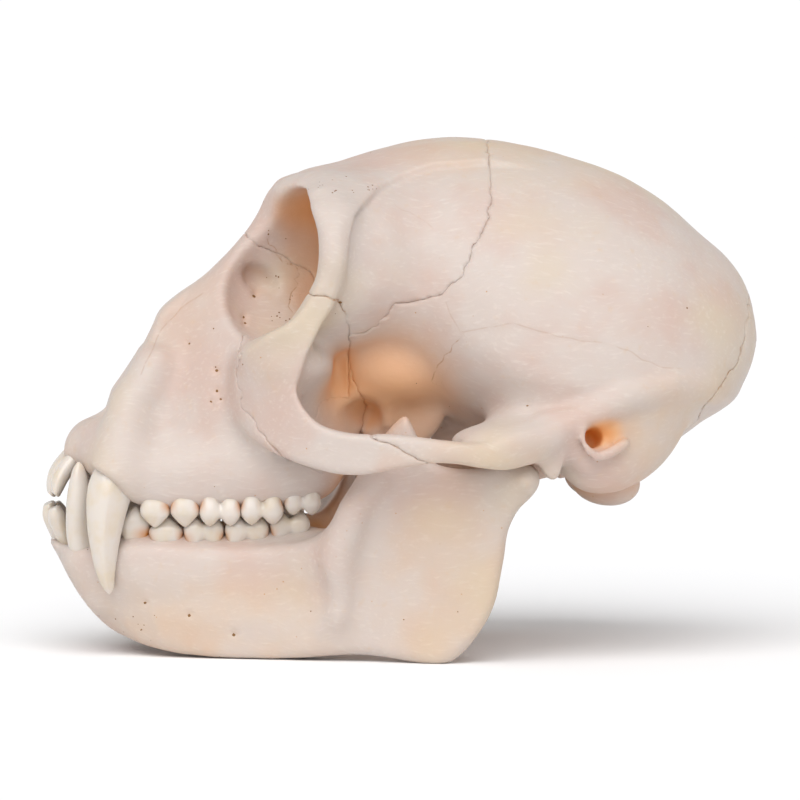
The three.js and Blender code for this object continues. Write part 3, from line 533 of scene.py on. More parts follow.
    def hollows(self) -> list[Form]:
        """What is cut out of the cranium.

        Returns:
            The bodies, to be taken away from it.
        """
        return [
            join(3, self.eye(), Ellipsoid((-21, 15.6, 58.4), (8, 10.8, 10.6))),
            join(
                2.5,
                Ellipsoid((-42.4, 0, 40.8), (7, 4.7, 5.4), (0.5, 0, 0.87)),
                bar((-40.4, 0, 45, 3), (-36.6, 0, 50.4, 1.5)),
            ),
            bar((-42, 0, 40.6, 3.8), (-26, 0, 40, 4.2)),
            bar((4, 0, 27, 5.6), (-4, 0, 33.4, 5), (-14, 0, 36, 4)),
            Ellipsoid((-27, 0, SOCKET_LINE - 1), (22.4, self.palate_half, 6)),
            Ellipsoid((16.4, 23.6, 27.4), (4.6, 8.6, 3.3), (0.97, -0.24, 0)),
            bar((37, 0, 20, 6.4), (33, 0, 32, 6.6), (29, 0, 44, 8)),
            Ellipsoid((25, 0, 53.5), (22, 21, 17.5), (0.97, 0, -0.22)),
            Ellipsoid((-6.6, 15.4, 36.3), (2.7, 5.4, 2.7), (1, 0.25, 0)),
            Ellipsoid((-21.6, 4.6, 56.8), (1.7, 1.8, 2.6), (0.5, 0, 0.87)),
            bar((-4.9, 31.4, 54.6, 6), (-3.9, 31.2, 59.4, 6), (-3.6, 30.6, 64.4, 6), (-3.2, 28.8, 67.6, 5.4)),
        ]

    def ear_hole(self) -> Form:
        """The ear's opening, which widens up and back into a groove."""
        tube = bar((26.9, 25.6, 33.4, 1.3), (27.4, 27.4, 33.8, 1.5), (27.8, 31, 34.2, 1.8))
        return join(1.6, tube, bar((28.2, 30.4, 34.8, 1.3), (31.4, 31.8, 36.4, 1.7)))

    def canine_root(self, x: Array, y: Array, z: Array) -> Array:
        """The swelling over the canine's root, with a slanted rim that the tooth comes out of."""
        bulge = bar(
            (-44.1, 14.4, 27.5, 3.9), (-43, 13, 31.4, 3.8), (-41.2, 10.8, 38, 3.2), (-37.6, 9.6, 44, 2.4)
        )
        return high(bulge(x, y, z), (28.9 - 0.5 * (x + 47) - z) * 0.89, 1)

    def __call__(self, x: Array, y: Array, z: Array) -> Array:
        """Distance from the cranium's surface, negative inside.

        Args:
            x: Places along the head.
            y: Places from the midline.
            z: Heights over the floor.

        Returns:
            The distances.
        """
        mastoid = Ellipsoid((31.8, 20.4, 31.6), (9.4, 5.2, 5.8), (0.85, -0.35, 0.38))
        cheek_root = Ellipsoid((-19, 17.6, 40.6), (5.2, 6, 8), (0.62, 0.78, 0))
        eye_floor = Ellipsoid((-17.6, 19.6, 44.6), (6.4, 7.6, 4.2))
        sockets = bar(
            (-40.6, 13.2, 27.8, 3.4), (-34, 14, 28, 3.5), (-22, 15, 28.4, 3.7), (-14, 14.8, 28.8, 3.2)
        )
        canine_root = self.canine_root
        beak = bar((-48.2, 0, 31.8, 2.2), (-47.8, 4.8, 31.5, 2.6), (-46, 8.8, 30.8, 2.9))
        necks = bar((-37, 13.8, 24.3, 1.1), (-20, 14.8, 24.5, 1.1), (-14, 14.6, 25.6, 1))
        arch_root = Ellipsoid((15.5, 25.6, 33.8), (9.5, 7, 2.8), (0.95, -0.3, 0.06))
        tongue = outline(
            (17, 33), (18.8, 30.6), (20, 28.4), (21.3, 27.5), (22.4, 28.4), (23, 30.6), (24.2, 33.4),
            (25.4, 36), (20, 37),
        )
        stop = Plate(tongue, lambda x, z: 27.2 + 0 * x, lambda x, z: 2.8 + 0 * x, 1)
        front = bar((24.9, 26.4, 34.2, 1.2), (25, 26.2, 31.6, 1.3), (26.4, 25.8, 29.8, 1.2))
        rim = bar(
            (25.7, 29.4, 35.4, 0.6), (25.9, 29.7, 33.6, 0.7), (26.6, 29.5, 32, 0.7), (27.8, 29, 31, 0.7),
            (29.8, 28.2, 31.6, 0.8), (32.2, 27, 33, 0.7),
        )
        brow = bar(
            (-17.9, 1, 68.6, 2), (-17, 7, 69.6, 2), (-15.4, 14, 70.2, 1.9), (-13, 21, 68.9, 2.1),
            (-11, 25.4, 65, 2.1), (-10.6, 27, 60, 2),
        )
        body = join(
            2.4,
            join(5, self.braincase, self.eye_cup, mastoid, arch_root),
            join(4, self.muzzle, cheek_root, eye_floor, sockets, canine_root, beak, necks),
            join(2, brow, self.cheek()),
            *self.base(),
        )
        carved = carve(1.6, body, *self.hollows())
        ear = join(0.7, join(1.6, carved, stop, front), rim)
        return carve(0.6, ear, self.ear_hole())(x, y, z)


@dataclass(frozen=True)
class JawForm:
    """The lower jaw without its teeth."""

    body_thick: float = 8.6
    branch_thick: float = 3.8

    def thickness(self, x: Array, z: Array) -> Array:
        """Thickness of the jaw's side, thinner up the branch and at the chin's foot."""
        branch = mix(self.body_thick, self.branch_thick, ramp(x, -16, -3))
        return branch + 1.2 * ramp(x, 8, 14) - 1.6 * ramp(-z, -7, 0) * ramp(-x, 0, 16)

    def side(self) -> Outline:
        """The jaw seen from the side."""
        line = JAW_LINE
        return outline(
            (-53.4, 17), (-52.6, 14.4), (-49.8, 8.8), (-45, 3.9), (-38, 1.3), (-30, 0), (-22, -0.3),
            (-15, 0.3), (-8, 0.9), (-2, 0.5), (4, -0.3), (8, 1.6), (12.2, 7.4), (14, 14.8), (15, 20.3),
            (18, 25.8), (18.2, 28.6), (15, 30), (9, 29.2), (4, 30), (2, 32.8), (0.2, 36.4), (-0.8, 36.9),
            (-3, 34.8), (-5.2, 31.4), (-7.6, 27), (-9.6, 22), (-12.6, 19.2), (-18, 17.6), (-28, line - 0.4),
            (-38.5, line),
            (-44, line - 0.2), (-48, 15.8),
        )

    def body(self, x: Array, y: Array, z: Array) -> Array:
        """The jaw's bent bar. The chin leans back, so the bend slides back lower down.

        Args:
            x: Places along the head.
            y: Places from the midline.
            z: Heights over the floor.

        Returns:
            The distance from its surface, negative inside.
        """
        line = (
            (-50.6, 0), (-49.4, 5), (-46, 9), (-41, 11.4), (-34, 12.8), (-26, 14.2), (-18, 16.2), (-10, 19.4),
            (-3, 22.6), (4, 24.6), (11, 25.2), (18, 24.6),
        )
        leant = x - 0.6 * (16 - z) * ramp(-x, 26, 44)
        nearest = None
        for (ax, ay), (bx, by) in zip(line, line[1:]):
            dx, dy = bx - ax, by - ay
            t = np.clip(((leant - ax) * dx + (y - ay) * dy) / (dx * dx + dy * dy), 0, 1)
            away = np.sqrt((leant - ax - t * dx) ** 2 + (y - ay - t * dy) ** 2)
            nearest = away if nearest is None else np.minimum(nearest, away)
        return high(nearest - self.thickness(x, z) / 2, self.side()(x, y, z), 2.2)

    def __call__(self, x: Array, y: Array, z: Array) -> Array:
        """Distance from the jaw's surface, negative inside.

        Args:
            x: Places along the head.
            y: Places from the midline.
            z: Heights over the floor.

        Returns:
            The distances.
        """
        ridge = bar((-44, 10.4, 13, 3.8), (-36, 12.4, 13, 3.9), (-26, 13.2, 13.2, 4), (-13, 14.6, 14.6, 3.9))
        joint = Ellipsoid((16, 24, 27.5), (2.9, 6, 2.5), (0.97, -0.24, 0))
        canine_root = bar((-49, 9.8, 14, 2.4), (-46, 9.8, 9, 2.2))
        branch_edge = bar(
            (-5, 25.2, 28, 1), (-8.3, 25.2, 23, 1.5), (-10.4, 24.4, 17, 1.9), (-11.8, 23.4, 8, 1.6)
        )
        dip = Ellipsoid((-19, 25.6, 9), (7.5, 4.4, 6))
        necks = bar((-41, 12.6, 17.4, 1.1), (-28, 13.3, 16.9, 1.2), (-15, 14, 18, 1.2))
        body = join(2.6, join(5, self.body, branch_edge), joint, ridge, canine_root, necks)
        bone = carve(3, body, dip)(x, y, z)
        return high(bone, -z + 0 * bone, 0.4)


# Seams


@dataclass(frozen=True)
class Seams:
    """Where one bone ends and the next begins, seen from the side."""

    gap: float = -0.2  # neighbours reach this far into each other, so no light passes between them
    stroke: float = 0.38  # how far the zigzag of a seam strays
    base_half: float = 13.6  # half the width of the back bone's part under the head

    def zigzag(self, x: Array, y: Array, z: Array) -> Array:
        """How far the seams stray here."""
        strokes = (wander(at + 90, 0.9, SEED + i) for i, at in enumerate((x, y, z)))
        return self.stroke * 0.6 * reduce(lambda a, b: a + b, strokes)

    def cheek(self, x: Array, y: Array, z: Array) -> Array:
        """The cheekbone's region, which reaches in to the middle of the eye socket's floor.

        Args:
            x: Places along the head.
            y: Places from the midline.
            z: Heights over the floor.

        Returns:
            The distance from its border, negative inside.
        """
        upper = outline(
            (-13.7, 55.2), (-10.2, 54.4), (-8.6, 49.6), (-8.3, 43), (-8, 39), (-24.9, 39), (-25.4, 43),
            (-24.4, 52), (-20, 56), (-16.6, 55.4), steps=1,
        )(x, y, z)
        lower = outline(
            (-8, 45), (-7, 34.9), (-2, 33), (3, 30), (3, 26), (-9, 26.6), (-18.2, 30.6), (-21.8, 34.4),
            (-24.8, 38), (-25.4, 43), (-25, 45), steps=1,
        )(x, y, z)
        side = np.abs(y)
        return np.minimum(np.maximum(upper, 13.5 - side), np.maximum(lower, 18.4 - side))

    def forehead(self, x: Array, y: Array, z: Array) -> Array:
        """The forehead's region."""
        return outline(
            (-34, 90), (-34, 58), (-24, 56), (-16, 51), (-10, 48), (-4.3, 50.4), (-1.8, 53.2), (1, 53.6),
            (4.9, 55.1), (8, 57.8), (12.2, 66.5), (13, 72), (14, 90), steps=1,
        )(x, y, z)

    def face(self, x: Array, y: Array, z: Array) -> Array:
        """The face's region, which leaves the pillar beside the eye to the forehead."""
        side = outline(
            (-60, 70), (-28, 66.6), (-22, 62.4), (-14, 58), (-9.4, 50), (-7.6, 42), (-5.6, 38), (-7.6, 30),
            (-7, 20), (-60, 15), steps=1,
        )(x, y, z)
        return np.maximum(side, np.minimum(np.abs(y) - 20.5, z - 55))

    def back(self, x: Array, y: Array, z: Array) -> Array:
        """The region of the bone at the back of the head and round the spine's hole.

        Args:
            x: Places along the head.
            y: Places from the midline.
            z: Heights over the floor.

        Returns:
            The distance from its border, negative inside.
        """
        upper = outline((60, 58), (52.6, 54.4), (50.4, 44.4), (46.4, 40.2), (44, 36), (60, 30), steps=1)
        lower = outline((60, 42), (47.4, 41.4), (34, 33), (24.6, 32), (23.6, 15), (60, 15), steps=1)
        return np.minimum(upper(x, y, z), np.maximum(lower(x, y, z), np.abs(y) - self.base_half))


class Bone(Enum):
    """The cranium's bones that are parted by seams."""

    FOREHEAD = "forehead"
    BRAINCASE = "braincase"
    OCCIPUT = "occiput"
    FACE = "face"
    CHEEK = "cheekbone"


def region(seams: Seams, bone: Bone, x: Array, y: Array, z: Array) -> Array:
    """Distance from the border of a bone's region, negative inside.

    Args:
        seams: The seams' places.
        bone: Which bone.
        x: Places along the head.
        y: Places across it, signed.
        z: Heights.

    Returns:
        The distances, with the seams' zigzag.
    """
    stray = seams.zigzag(x, y, z)
    cheek = seams.cheek(x, y, z) + stray
    face = seams.face(x, y, z) + stray
    forehead = seams.forehead(x, y, z) + stray
    back = seams.back(x, y, z) + stray
    gap = seams.gap
    match bone:
        case Bone.CHEEK:
            return cheek
        case Bone.FACE:
            return np.maximum(face, gap - cheek)
        case Bone.FOREHEAD:
            return np.maximum(np.maximum(forehead, gap - face), gap - cheek)
        case Bone.OCCIPUT:
            return back
        case Bone.BRAINCASE:
            borders = (gap - forehead, gap - face, gap - back, gap - cheek)
            return reduce(np.maximum, borders)


# Teeth


@dataclass(frozen=True)
class CheekTooth:
    """A molar or premolar, built of one rounded bulb for each cusp.

    lobes says how many pairs of cusps stand along the row, and inner how far the tongue's side reaches.
    """

    x: float
    y: float
    neck: float
    tip: float
    length: float
    width: float
    lobes: int
    inner: float = 0.9

    def along(self, z: Array) -> Array:
        """How far from the neck to the tip, 0 to 1, and below 0 in the root."""
        return (z - self.neck) / (self.tip - self.neck)

    def __call__(self, x: Array, y: Array, z: Array) -> Array:
        """Roughly the distance from the surface, negative inside.

        Args:
            x: Places along the head.
            y: Places from the midline.
            z: Heights over the floor.

        Returns:
            The distances.
        """
        blunt = curve(
            (-1.2, 0.3), (-0.5, 0.56), (-0.1, 0.7), (0.12, 0.78), (0.3, 0.92), (0.48, 1.02), (0.64, 0.98),
            (0.8, 0.74), (0.92, 0.42), (1, 0.02),
        )
        sharp = curve(
            (-1.2, 0.3), (-0.5, 0.62), (-0.1, 0.78), (0.1, 0.86), (0.26, 0.97), (0.42, 1.03), (0.58, 0.95),
            (0.76, 0.62), (0.9, 0.32), (1, 0.02),
        )
        half = self.length / 2 / self.lobes
        wide = self.width / 4
        body = None
        for lobe in range(self.lobes):
            middle = self.x + (lobe * 2 + 1 - self.lobes) * half
            for side, reach in ((1, 1.0), (-1, self.inner)):
                t = self.along(z) / reach
                radius = (sharp if self.lobes == 1 else blunt)(t)
                u, v = np.abs(x - middle) / half, np.abs(y - self.y - side * wide) / (wide * 1.15)
                bulb = (np.cbrt(u**3 + v**3) - radius) * min(half, wide) * 0.9
                body = bulb if body is None else low(body, bulb, 0.8)
        return high(body, (-1.15 - self.along(z)) * 3, 0.4)

    def box(self) -> tuple[Point, Point]:
        """The lowest and highest corner of a box round the tooth.

        Returns:
            The two corners.
        """
        root = self.neck - 1.2 * (self.tip - self.neck)
        bottom, top = sorted((self.tip, root))
        x, y = self.length / 2 + 0.8, self.width / 2 + 0.8
        return (self.x - x, self.y - y, bottom - 0.6), (self.x + x, self.y + y, top + 0.6)

    def root(self, points: Array) -> Array:
        """How far points lie past the neck into the root, in millimetres."""
        return -self.along(points[:, 2]) * abs(self.tip - self.neck)


@dataclass(frozen=True)
class FrontTooth:
    """A canine or incisor: a shaft, and how far along it the root ends."""

    shaft: Loft
    neck: float

    def __call__(self, x: Array, y: Array, z: Array) -> Array:
        """Roughly the distance from the surface, negative inside."""
        return self.shaft(x, y, z)

    def box(self) -> tuple[Point, Point]:
        """The lowest and highest corner of a box round the tooth.

        Returns:
            The two corners.
        """
        rings = np.array(self.shaft.rings)
        reach = rings[:, 3:].max(axis=1, keepdims=True) + 0.8
        return tuple((rings[:, :3] - reach).min(axis=0)), tuple((rings[:, :3] + reach).max(axis=0))

    def root(self, points: Array) -> Array:
        """How far points lie past the neck into the root, in millimetres."""
        first, last = np.array(self.shaft.rings)[[0, -1], :3]
        return self.neck - (points - first) @ (last - first) / np.linalg.norm(last - first)


Tooth = CheekTooth | FrontTooth


def front_tooth(*rings: tuple[float, ...], neck: float, blade: float = 0, flutes: int = 0) -> FrontTooth:
    """A FrontTooth through (x, y, z, half length, half width) rings, root first."""
    return FrontTooth(Loft(rings, blade, flutes), neck)


UPPER_TEETH: tuple[Tooth, ...] = (
    front_tooth(
        (-44.6, 2.1, 34.6, 1.3, 1.2), (-48.4, 2.2, 31.6, 1.3, 1.6), (-51.2, 2.3, 29, 1.3, 2.1),
        (-52.7, 2.3, 26.8, 1.35, 2.35), (-53.3, 2.3, 25.2, 1.2, 2.4), (-53.6, 2.3, 23.9, 0.8, 2.3), neck=6,
    ),
    front_tooth(
        (-43.6, 4.5, 34.6, 1.1, 1), (-47.2, 5.1, 32, 1.2, 1.2), (-50.2, 5.7, 29.3, 1.25, 1.5),
        (-51.9, 6.1, 27, 1.3, 1.8), (-52.6, 6.3, 25.4, 1.15, 1.9), (-52.9, 6.4, 24.2, 0.8, 1.8), neck=5.8,
    ),
    front_tooth(
        (-41, 9, 38, 1.4, 1.3), (-42.7, 12, 32, 2.6, 2.2), (-43.5, 14.2, 28.4, 3.3, 2.6),
        (-44.4, 15, 25.6, 3.45, 2.7), (-45.1, 15.5, 22, 3, 2.45), (-45.4, 15.7, 17.5, 2.3, 2),
        (-45.2, 15.5, 12.8, 1.45, 1.4), (-44.8, 15.2, 10.6, 0.85, 0.8), (-44.6, 15.1, 9.6, 0.15, 0.15),
        neck=9.2, blade=0.5,
    ),
    CheekTooth(-37.75, 14.2, 24.3, 19.7, 4.4, 5, 1, 0.8),
    CheekTooth(-33.25, 14.5, 24.5, 19.8, 4.3, 5.6, 1, 0.84),
    CheekTooth(-27.95, 14.9, 24.6, 20, 6.2, 6, 2, 0.9),
    CheekTooth(-21.65, 15.2, 24.8, 20.2, 6.4, 6.2, 2, 0.9),
    CheekTooth(-15.55, 15, 25.6, 21.6, 5.6, 5.6, 2, 0.9),
)
LOWER_TEETH: tuple[Tooth, ...] = (
    front_tooth(
        (-49.6, 1.4, 12, 1, 1), (-51.8, 1.5, 16.4, 1.15, 1.3), (-52.9, 1.6, 19, 1.3, 1.6),
        (-53.6, 1.6, 21, 1.35, 1.75), (-54, 1.6, 22.5, 0.85, 1.6), neck=5,
    ),
    front_tooth(
        (-48.8, 4.4, 12, 1, 1), (-50.9, 4.8, 16.4, 1.2, 1.4), (-52, 5, 18.9, 1.35, 1.7),
        (-52.7, 5.1, 20.9, 1.4, 1.85), (-53.1, 5.1, 22.2, 0.85, 1.7), neck=5,
    ),
    front_tooth(
        (-45, 9.4, 8.4, 1.2, 1.2), (-48, 9.9, 14, 1.9, 1.8), (-49.1, 10.3, 18, 2.1, 1.95),
        (-49.3, 10.6, 23, 2, 2.1), (-49.3, 10.8, 26.4, 1.5, 1.4), (-49.3, 10.9, 28.6, 0.85, 0.8),
        (-49.3, 11, 29.5, 0.15, 0.15), neck=8.4, flutes=3,
    ),
    CheekTooth(-40.7, 12.3, 17.6, 23, 4.3, 3.6, 1, 0.8),
    CheekTooth(-36.1, 12.9, 17.1, 21.4, 5, 4.4, 1, 0.9),
    CheekTooth(-30.4, 13.2, 16.9, 21.4, 6, 4.8, 2, 1),
    CheekTooth(-23.9, 13.5, 17, 21.6, 6.6, 5, 2, 1),
    CheekTooth(-17.4, 13.6, 17.7, 22.2, 6, 4.9, 2, 1),
)


# Where the seams between bones gape a little: a place, its radii, and how much more they show
OPEN_SEAMS = (
    (Ellipsoid((-12.6, 27, 54.4), (4.4, 6, 3)), 0.6),
    (Ellipsoid((-2, 33, 32.6), (6, 5, 4)), 0.35),
    (Ellipsoid((48, 14, 43), (5, 16, 6)), 0.6),
    (Ellipsoid((-20, 22, 32), (3, 8, 2.4)), 0.4),
)

# Small holes for nerves and vessels: place along the head, from the midline and over the floor, radius
PITS = (
    (-28.5, 17, 43.4, 0.45), (-28.4, 17, 40.4, 0.4), (-29.3, 17, 38.7, 0.3), (-27.8, 17, 39.2, 0.3),
    (-32.8, 14, 47.6, 0.25), (-24, 10, 51.3, 0.4), (-24, 10, 50.3, 0.35), (-22.2, 8, 54.7, 0.5),
    (-39.2, 13, 8.4, 0.4), (-32.6, 16, 6.8, 0.45), (-25.9, 17, 3.9, 0.45), (7.2, 26, 7.9, 0.25),
    (-0.6, 26, 6.7, 0.2), (17.7, 27, 38.6, 0.35), (-10.3, 27, 53.9, 0.45),
)

# Where fine pores lie close together: a place and its radii
PORES = (
    Ellipsoid((38, 22, 47), (7, 9, 3.4)),
    Ellipsoid((-34.7, 16, 38.2), (2.6, 5, 2.2)),
    Ellipsoid((-46, 8, 10), (6, 8, 6)),
    Ellipsoid((-37, 12, 4), (6, 6, 3)),
    Ellipsoid((-8, 22, 73), (9, 8, 4)),
    Ellipsoid((-19, 8, 58), (5, 6, 8)),
)

# Painted shade in sheltered places, warmer in colour: the eye sockets, the temple, the ear's opening, under
# the head and along the teeth. A place, how much warmer, and how far the change reaches
PAINTED_SHADE_PLACES = (
    (Ellipsoid((-10, 11, 60), (12, 9, 10), (0.93, -0.36, -0.1)), 1.1, 3),
    (Ellipsoid((-14, 12, 67), (8, 8, 4)), 0.35, 3),
    (Ellipsoid((-4, 15, 40), (11, 13, 6)), 0.3, 6),
    (Ellipsoid((-2, 14, 43), (12, 9, 10)), 0.4, 7),
    (Ellipsoid((28.4, 25, 34.4), (3, 4.4, 2)), 0.9, 1.8),
    (Ellipsoid((30, 27, 36), (3.4, 4, 1.6)), 0.25, 2.5),
    (Ellipsoid((12, 12, 28), (16, 14, 7)), 0.3, 4),
    (Ellipsoid((31, 10, 27), (8, 14, 4)), 0.35, 4),
    (Ellipsoid((-9, 11, 22), (6, 7, 9)), 0.6, 3),
    (Ellipsoid((-25, 14, 23.7), (13, 2.4, 1)), 0.7, 1),
    (Ellipsoid((-27, 12.6, 18), (15, 2, 1)), 0.5, 1),
)

# Where the bone is yellower: a place, its radii, and how much yellower
YELLOW_PLACES = (
    (Ellipsoid((-26, 15, 5), (24, 9, 7)), 0.34),
    (Ellipsoid((6, 26, 10), (12, 6, 14)), 0.24),
    (Ellipsoid((40, 20, 35), (10, 12, 7)), 0.4),
    (Ellipsoid((8, 34, 31), (12, 4, 2.4)), 0.15),
    (Ellipsoid((-36, 6, 53), (8, 8, 8)), 0.12),
    (Ellipsoid((20, 4, 76), (20, 16, 6)), 0.25),
)


# Nets


@dataclass(frozen=True)
class Net:
    """A net of four-sided faces, with points as rows and numbers on its points."""

    points: Array
    faces: Array
    marks: dict[str, Array] = field(default_factory=dict)

    def normals(self) -> Array:
        """The outward direction at each point.

        Returns:
            One unit row for each point.
        """
        corners = self.points[self.faces]
        across = np.cross(corners[:, 2] - corners[:, 0], corners[:, 3] - corners[:, 1])
        total = np.zeros_like(self.points)
        for k in range(3):
            for corner in range(4):
                total[:, k] += np.bincount(self.faces[:, corner], across[:, k], len(self.points))
        return total / np.maximum(np.linalg.norm(total, axis=1, keepdims=True), 1e-9)

    def mirrored(self) -> "Net":
        """The same net on the head's other side."""
        return Net(self.points * [1, -1, 1], self.faces[:, ::-1], self.marks)

    @staticmethod
    def together(nets: Sequence["Net"]) -> "Net":
        """Several nets as one.

        Args:
            nets: The nets, which all carry the same marks.

        Returns:
            The one net.
        """
        starts = np.cumsum([0, *(len(net.points) for net in nets)])
        marks = {name: np.concatenate([net.marks[name] for net in nets]) for name in nets[0].marks}
        faces = np.concatenate([net.faces + start for net, start in zip(nets, starts)])
        return Net(np.concatenate([net.points for net in nets]), faces, marks)


@dataclass(frozen=True)
class Block:
    """A block of space, read at points a cell apart."""

    lowest: Point
    highest: Point
    cell: float

    @property
    def even(self) -> bool:
        """Whether the block reaches as far to one side of the head as to the other."""
        return self.lowest[1] == -self.highest[1]

    def axes(self) -> tuple[Array, Array, Array]:
        """The points' places along each axis, shaped to be combined.

        Returns:
            The x, y and z places.
        """
        lines = [np.arange(a, b + self.cell, self.cell) for a, b in zip(self.lowest, self.highest)]
        if self.even:
            half = np.arange(self.cell / 2, self.highest[1] + self.cell, self.cell)
            lines[1] = np.concatenate([-half[::-1], half])
        x, y, z = (line.astype(np.float32) for line in lines)
        return x[:, None, None], y[None, :, None], z[None, None, :]

    def read(self, form: Form) -> Array:
        """The form's numbers, the same on both sides of the head.

        Args:
            form: The body that is read.

        Returns:
            One number for each point of the block.
        """
        x, y, z = self.axes()
        if not self.even:
            return form(x, np.abs(y), z)
        half = form(x, y[:, y.shape[1] // 2 :], z)
        return np.concatenate([half[:, ::-1], half], axis=1)

    def net(self, values: Array) -> Net:
        """Lays a net over the surface where the values are zero.

        Args:
            values: One number for each point of the block.

        Returns:
            The net, closed, with its faces pointing out.
        """
        values = values.astype(np.float32)
        for side in range(3):
            ends = np.moveaxis(values, side, 0)
            ends[0] = ends[-1] = self.cell
        values[values == 0] = 1e-5
        shape = np.array(values.shape)
        flat = values.reshape(-1)
        spans = np.array([shape[1] * shape[2], shape[2], 1])
        steps = np.array([[i & 1, (i >> 1) & 1, i >> 2] for i in range(8)])
        offsets = steps @ spans
        cells = self.single_sheets(flat, shape, offsets)

        corners = flat[cells[:, None] + offsets]
        total = np.zeros((len(cells), 3))
        crossings = np.zeros(len(cells))
        for a in range(8):
            for b in range(a + 1, 8):
                if np.abs(steps[a] - steps[b]).sum() != 1:
                    continue
                va, vb = corners[:, a], corners[:, b]
                crossed = (va < 0) != (vb < 0)
                t = np.where(crossed, va / np.where(crossed, va - vb, 1), 0)
                total += crossed[:, None] * (steps[a] + t[:, None] * (steps[b] - steps[a]))
                crossings += crossed
        places = np.stack(np.unravel_index(cells, shape), axis=1) + total / crossings[:, None]
        starts = np.array([axis.reshape(-1)[0] for axis in self.axes()])

        number = np.full(len(flat), -1, dtype=np.int32)
        number[cells] = np.arange(len(cells))
        faces = []
        for side in range(3):
            u, v = spans[(side + 1) % 3], spans[(side + 2) % 3]
            here = flat[cells] < 0
            turned = here != (flat[cells + spans[side]] < 0)
            start = cells[turned]
            ring = number[np.stack([start, start - u, start - u - v, start - v], axis=1)]
            faces.append(np.where(here[turned][:, None], ring, ring[:, ::-1]))
        return Net(starts + places * self.cell, np.concatenate(faces))

    @staticmethod
    def single_sheets(flat: Array, shape: Array, offsets: Array) -> Array:
        """Fills the cells that two sheets of a surface pass through until only one does.

        Args:
            flat: The block's numbers in one row, changed in place.
            shape: The block's size in points.
            offsets: How far a cell's eight corners lie from its first one in that row.

        Returns:
            The first corner of each cell that the surface passes through.
        """
        whole = np.array([one_piece(pattern) for pattern in range(256)])
        for _ in range(30):
            inside = (flat < 0).reshape(shape)
            pattern = np.zeros(shape - 1, dtype=np.uint8)
            for i in range(8):
                a, b, c = i & 1, (i >> 1) & 1, i >> 2
                part = inside[a : shape[0] - 1 + a, b : shape[1] - 1 + b, c : shape[2] - 1 + c]
                pattern |= part.astype(np.uint8) << i
            split = np.argwhere(~whole[pattern])
            if len(split) == 0:
                break
            corners = np.ravel_multi_index(split.T, shape)[:, None] + offsets
            open_ones = np.where(flat[corners] > 0, flat[corners], np.inf)
            flat[corners[np.arange(len(split)), open_ones.argmin(axis=1)]] = -1e-3
        passed = np.argwhere((pattern > 0) & (pattern < 255))
        return np.ravel_multi_index(passed.T, shape)


def one_piece(pattern: int) -> bool:
    """Whether a cell's inside corners, and its outside ones, each hang together.

    Args:
        pattern: The inside corners as bits.

    Returns:
        True if one sheet of a surface passes through such a cell, or none.
    """
    for side in (True, False):
        members = {i for i in range(8) if bool(pattern & (1 << i)) == side}
        reached = set(list(members)[:1])
        for _ in range(8):
            reached |= {j for i in reached for j in (i ^ 1, i ^ 2, i ^ 4) if j in members}
        if reached != members:
            return False
    return True


# Relief


@dataclass(frozen=True)
class Line:
    """A seam or crack drawn on the bone, through (x, z) places seen from the side."""

    places: tuple[tuple[float, float], ...]
    nearest: float  # it is drawn from this distance from the midline
    farthest: float
    strength: float = 0.7
    stroke: float = 0.25  # how far its zigzag strays
    step: float = 0.8  # length of one stroke of the zigzag
    drop: float = 0.0  # how much lower the bone lies right behind or below it

    def place(self, points: Array) -> tuple[Array, Array, float]:
        """Where points lie along the line and beside it.

        Args:
            points: Places, one row each.

        Returns:
            The signed distance from the line, the way along it, and the line's length.
        """
        x, z = points[:, 0], points[:, 2]
        nearest = np.full(len(points), 1e3)
        signed = np.full(len(points), 1e3)
        run = np.zeros(len(points))
        gone = 0.0
        for (ax, az), (bx, bz) in zip(self.places, self.places[1:]):
            length = math.hypot(bx - ax, bz - az)
            dx, dz = (bx - ax) / length, (bz - az) / length
            t = (x - ax) * dx + (z - az) * dz
            over = t - np.clip(t, 0, length)
            across = (x - ax) * dz - (z - az) * dx
            away = np.hypot(over, across)
            closer = away < nearest
            nearest = np.where(closer, away, nearest)
            signed = np.where(closer, np.copysign(away, across), signed)
            run = np.where(closer, gone + t, run)
            gone += length
        return signed, run, gone

    def read(self, points: Array, seed: int) -> tuple[Array, Array, Array]:
        """Which side of the line each point lies on, and how strongly the line shows there.

        Args:
            points: Places, one row each.
            seed: Which zigzag.

        Returns:
            The signed distance from the line, the strength from 0 to 1, and how far the bone is lowered.
        """
        signed, run, length = self.place(points)
        side = np.abs(points[:, 1])
        there = (side > self.nearest) & (side < self.farthest)
        ends = ramp(run, -0.2, 0.6) * (1 - ramp(run, length - 0.6, length + 0.2))
        lowered = ramp(signed, -0.3, 0.4) * np.exp(-np.maximum(signed, 0) / 4) * there
        lowered *= self.drop * ramp(run, 0, 4) * (1 - ramp(run, length - 12, length))
        shown = self.strength * ends * (there & (np.abs(signed) < 1.6))
        return signed + self.stroke * wander(run + 60, self.step, seed), shown, lowered


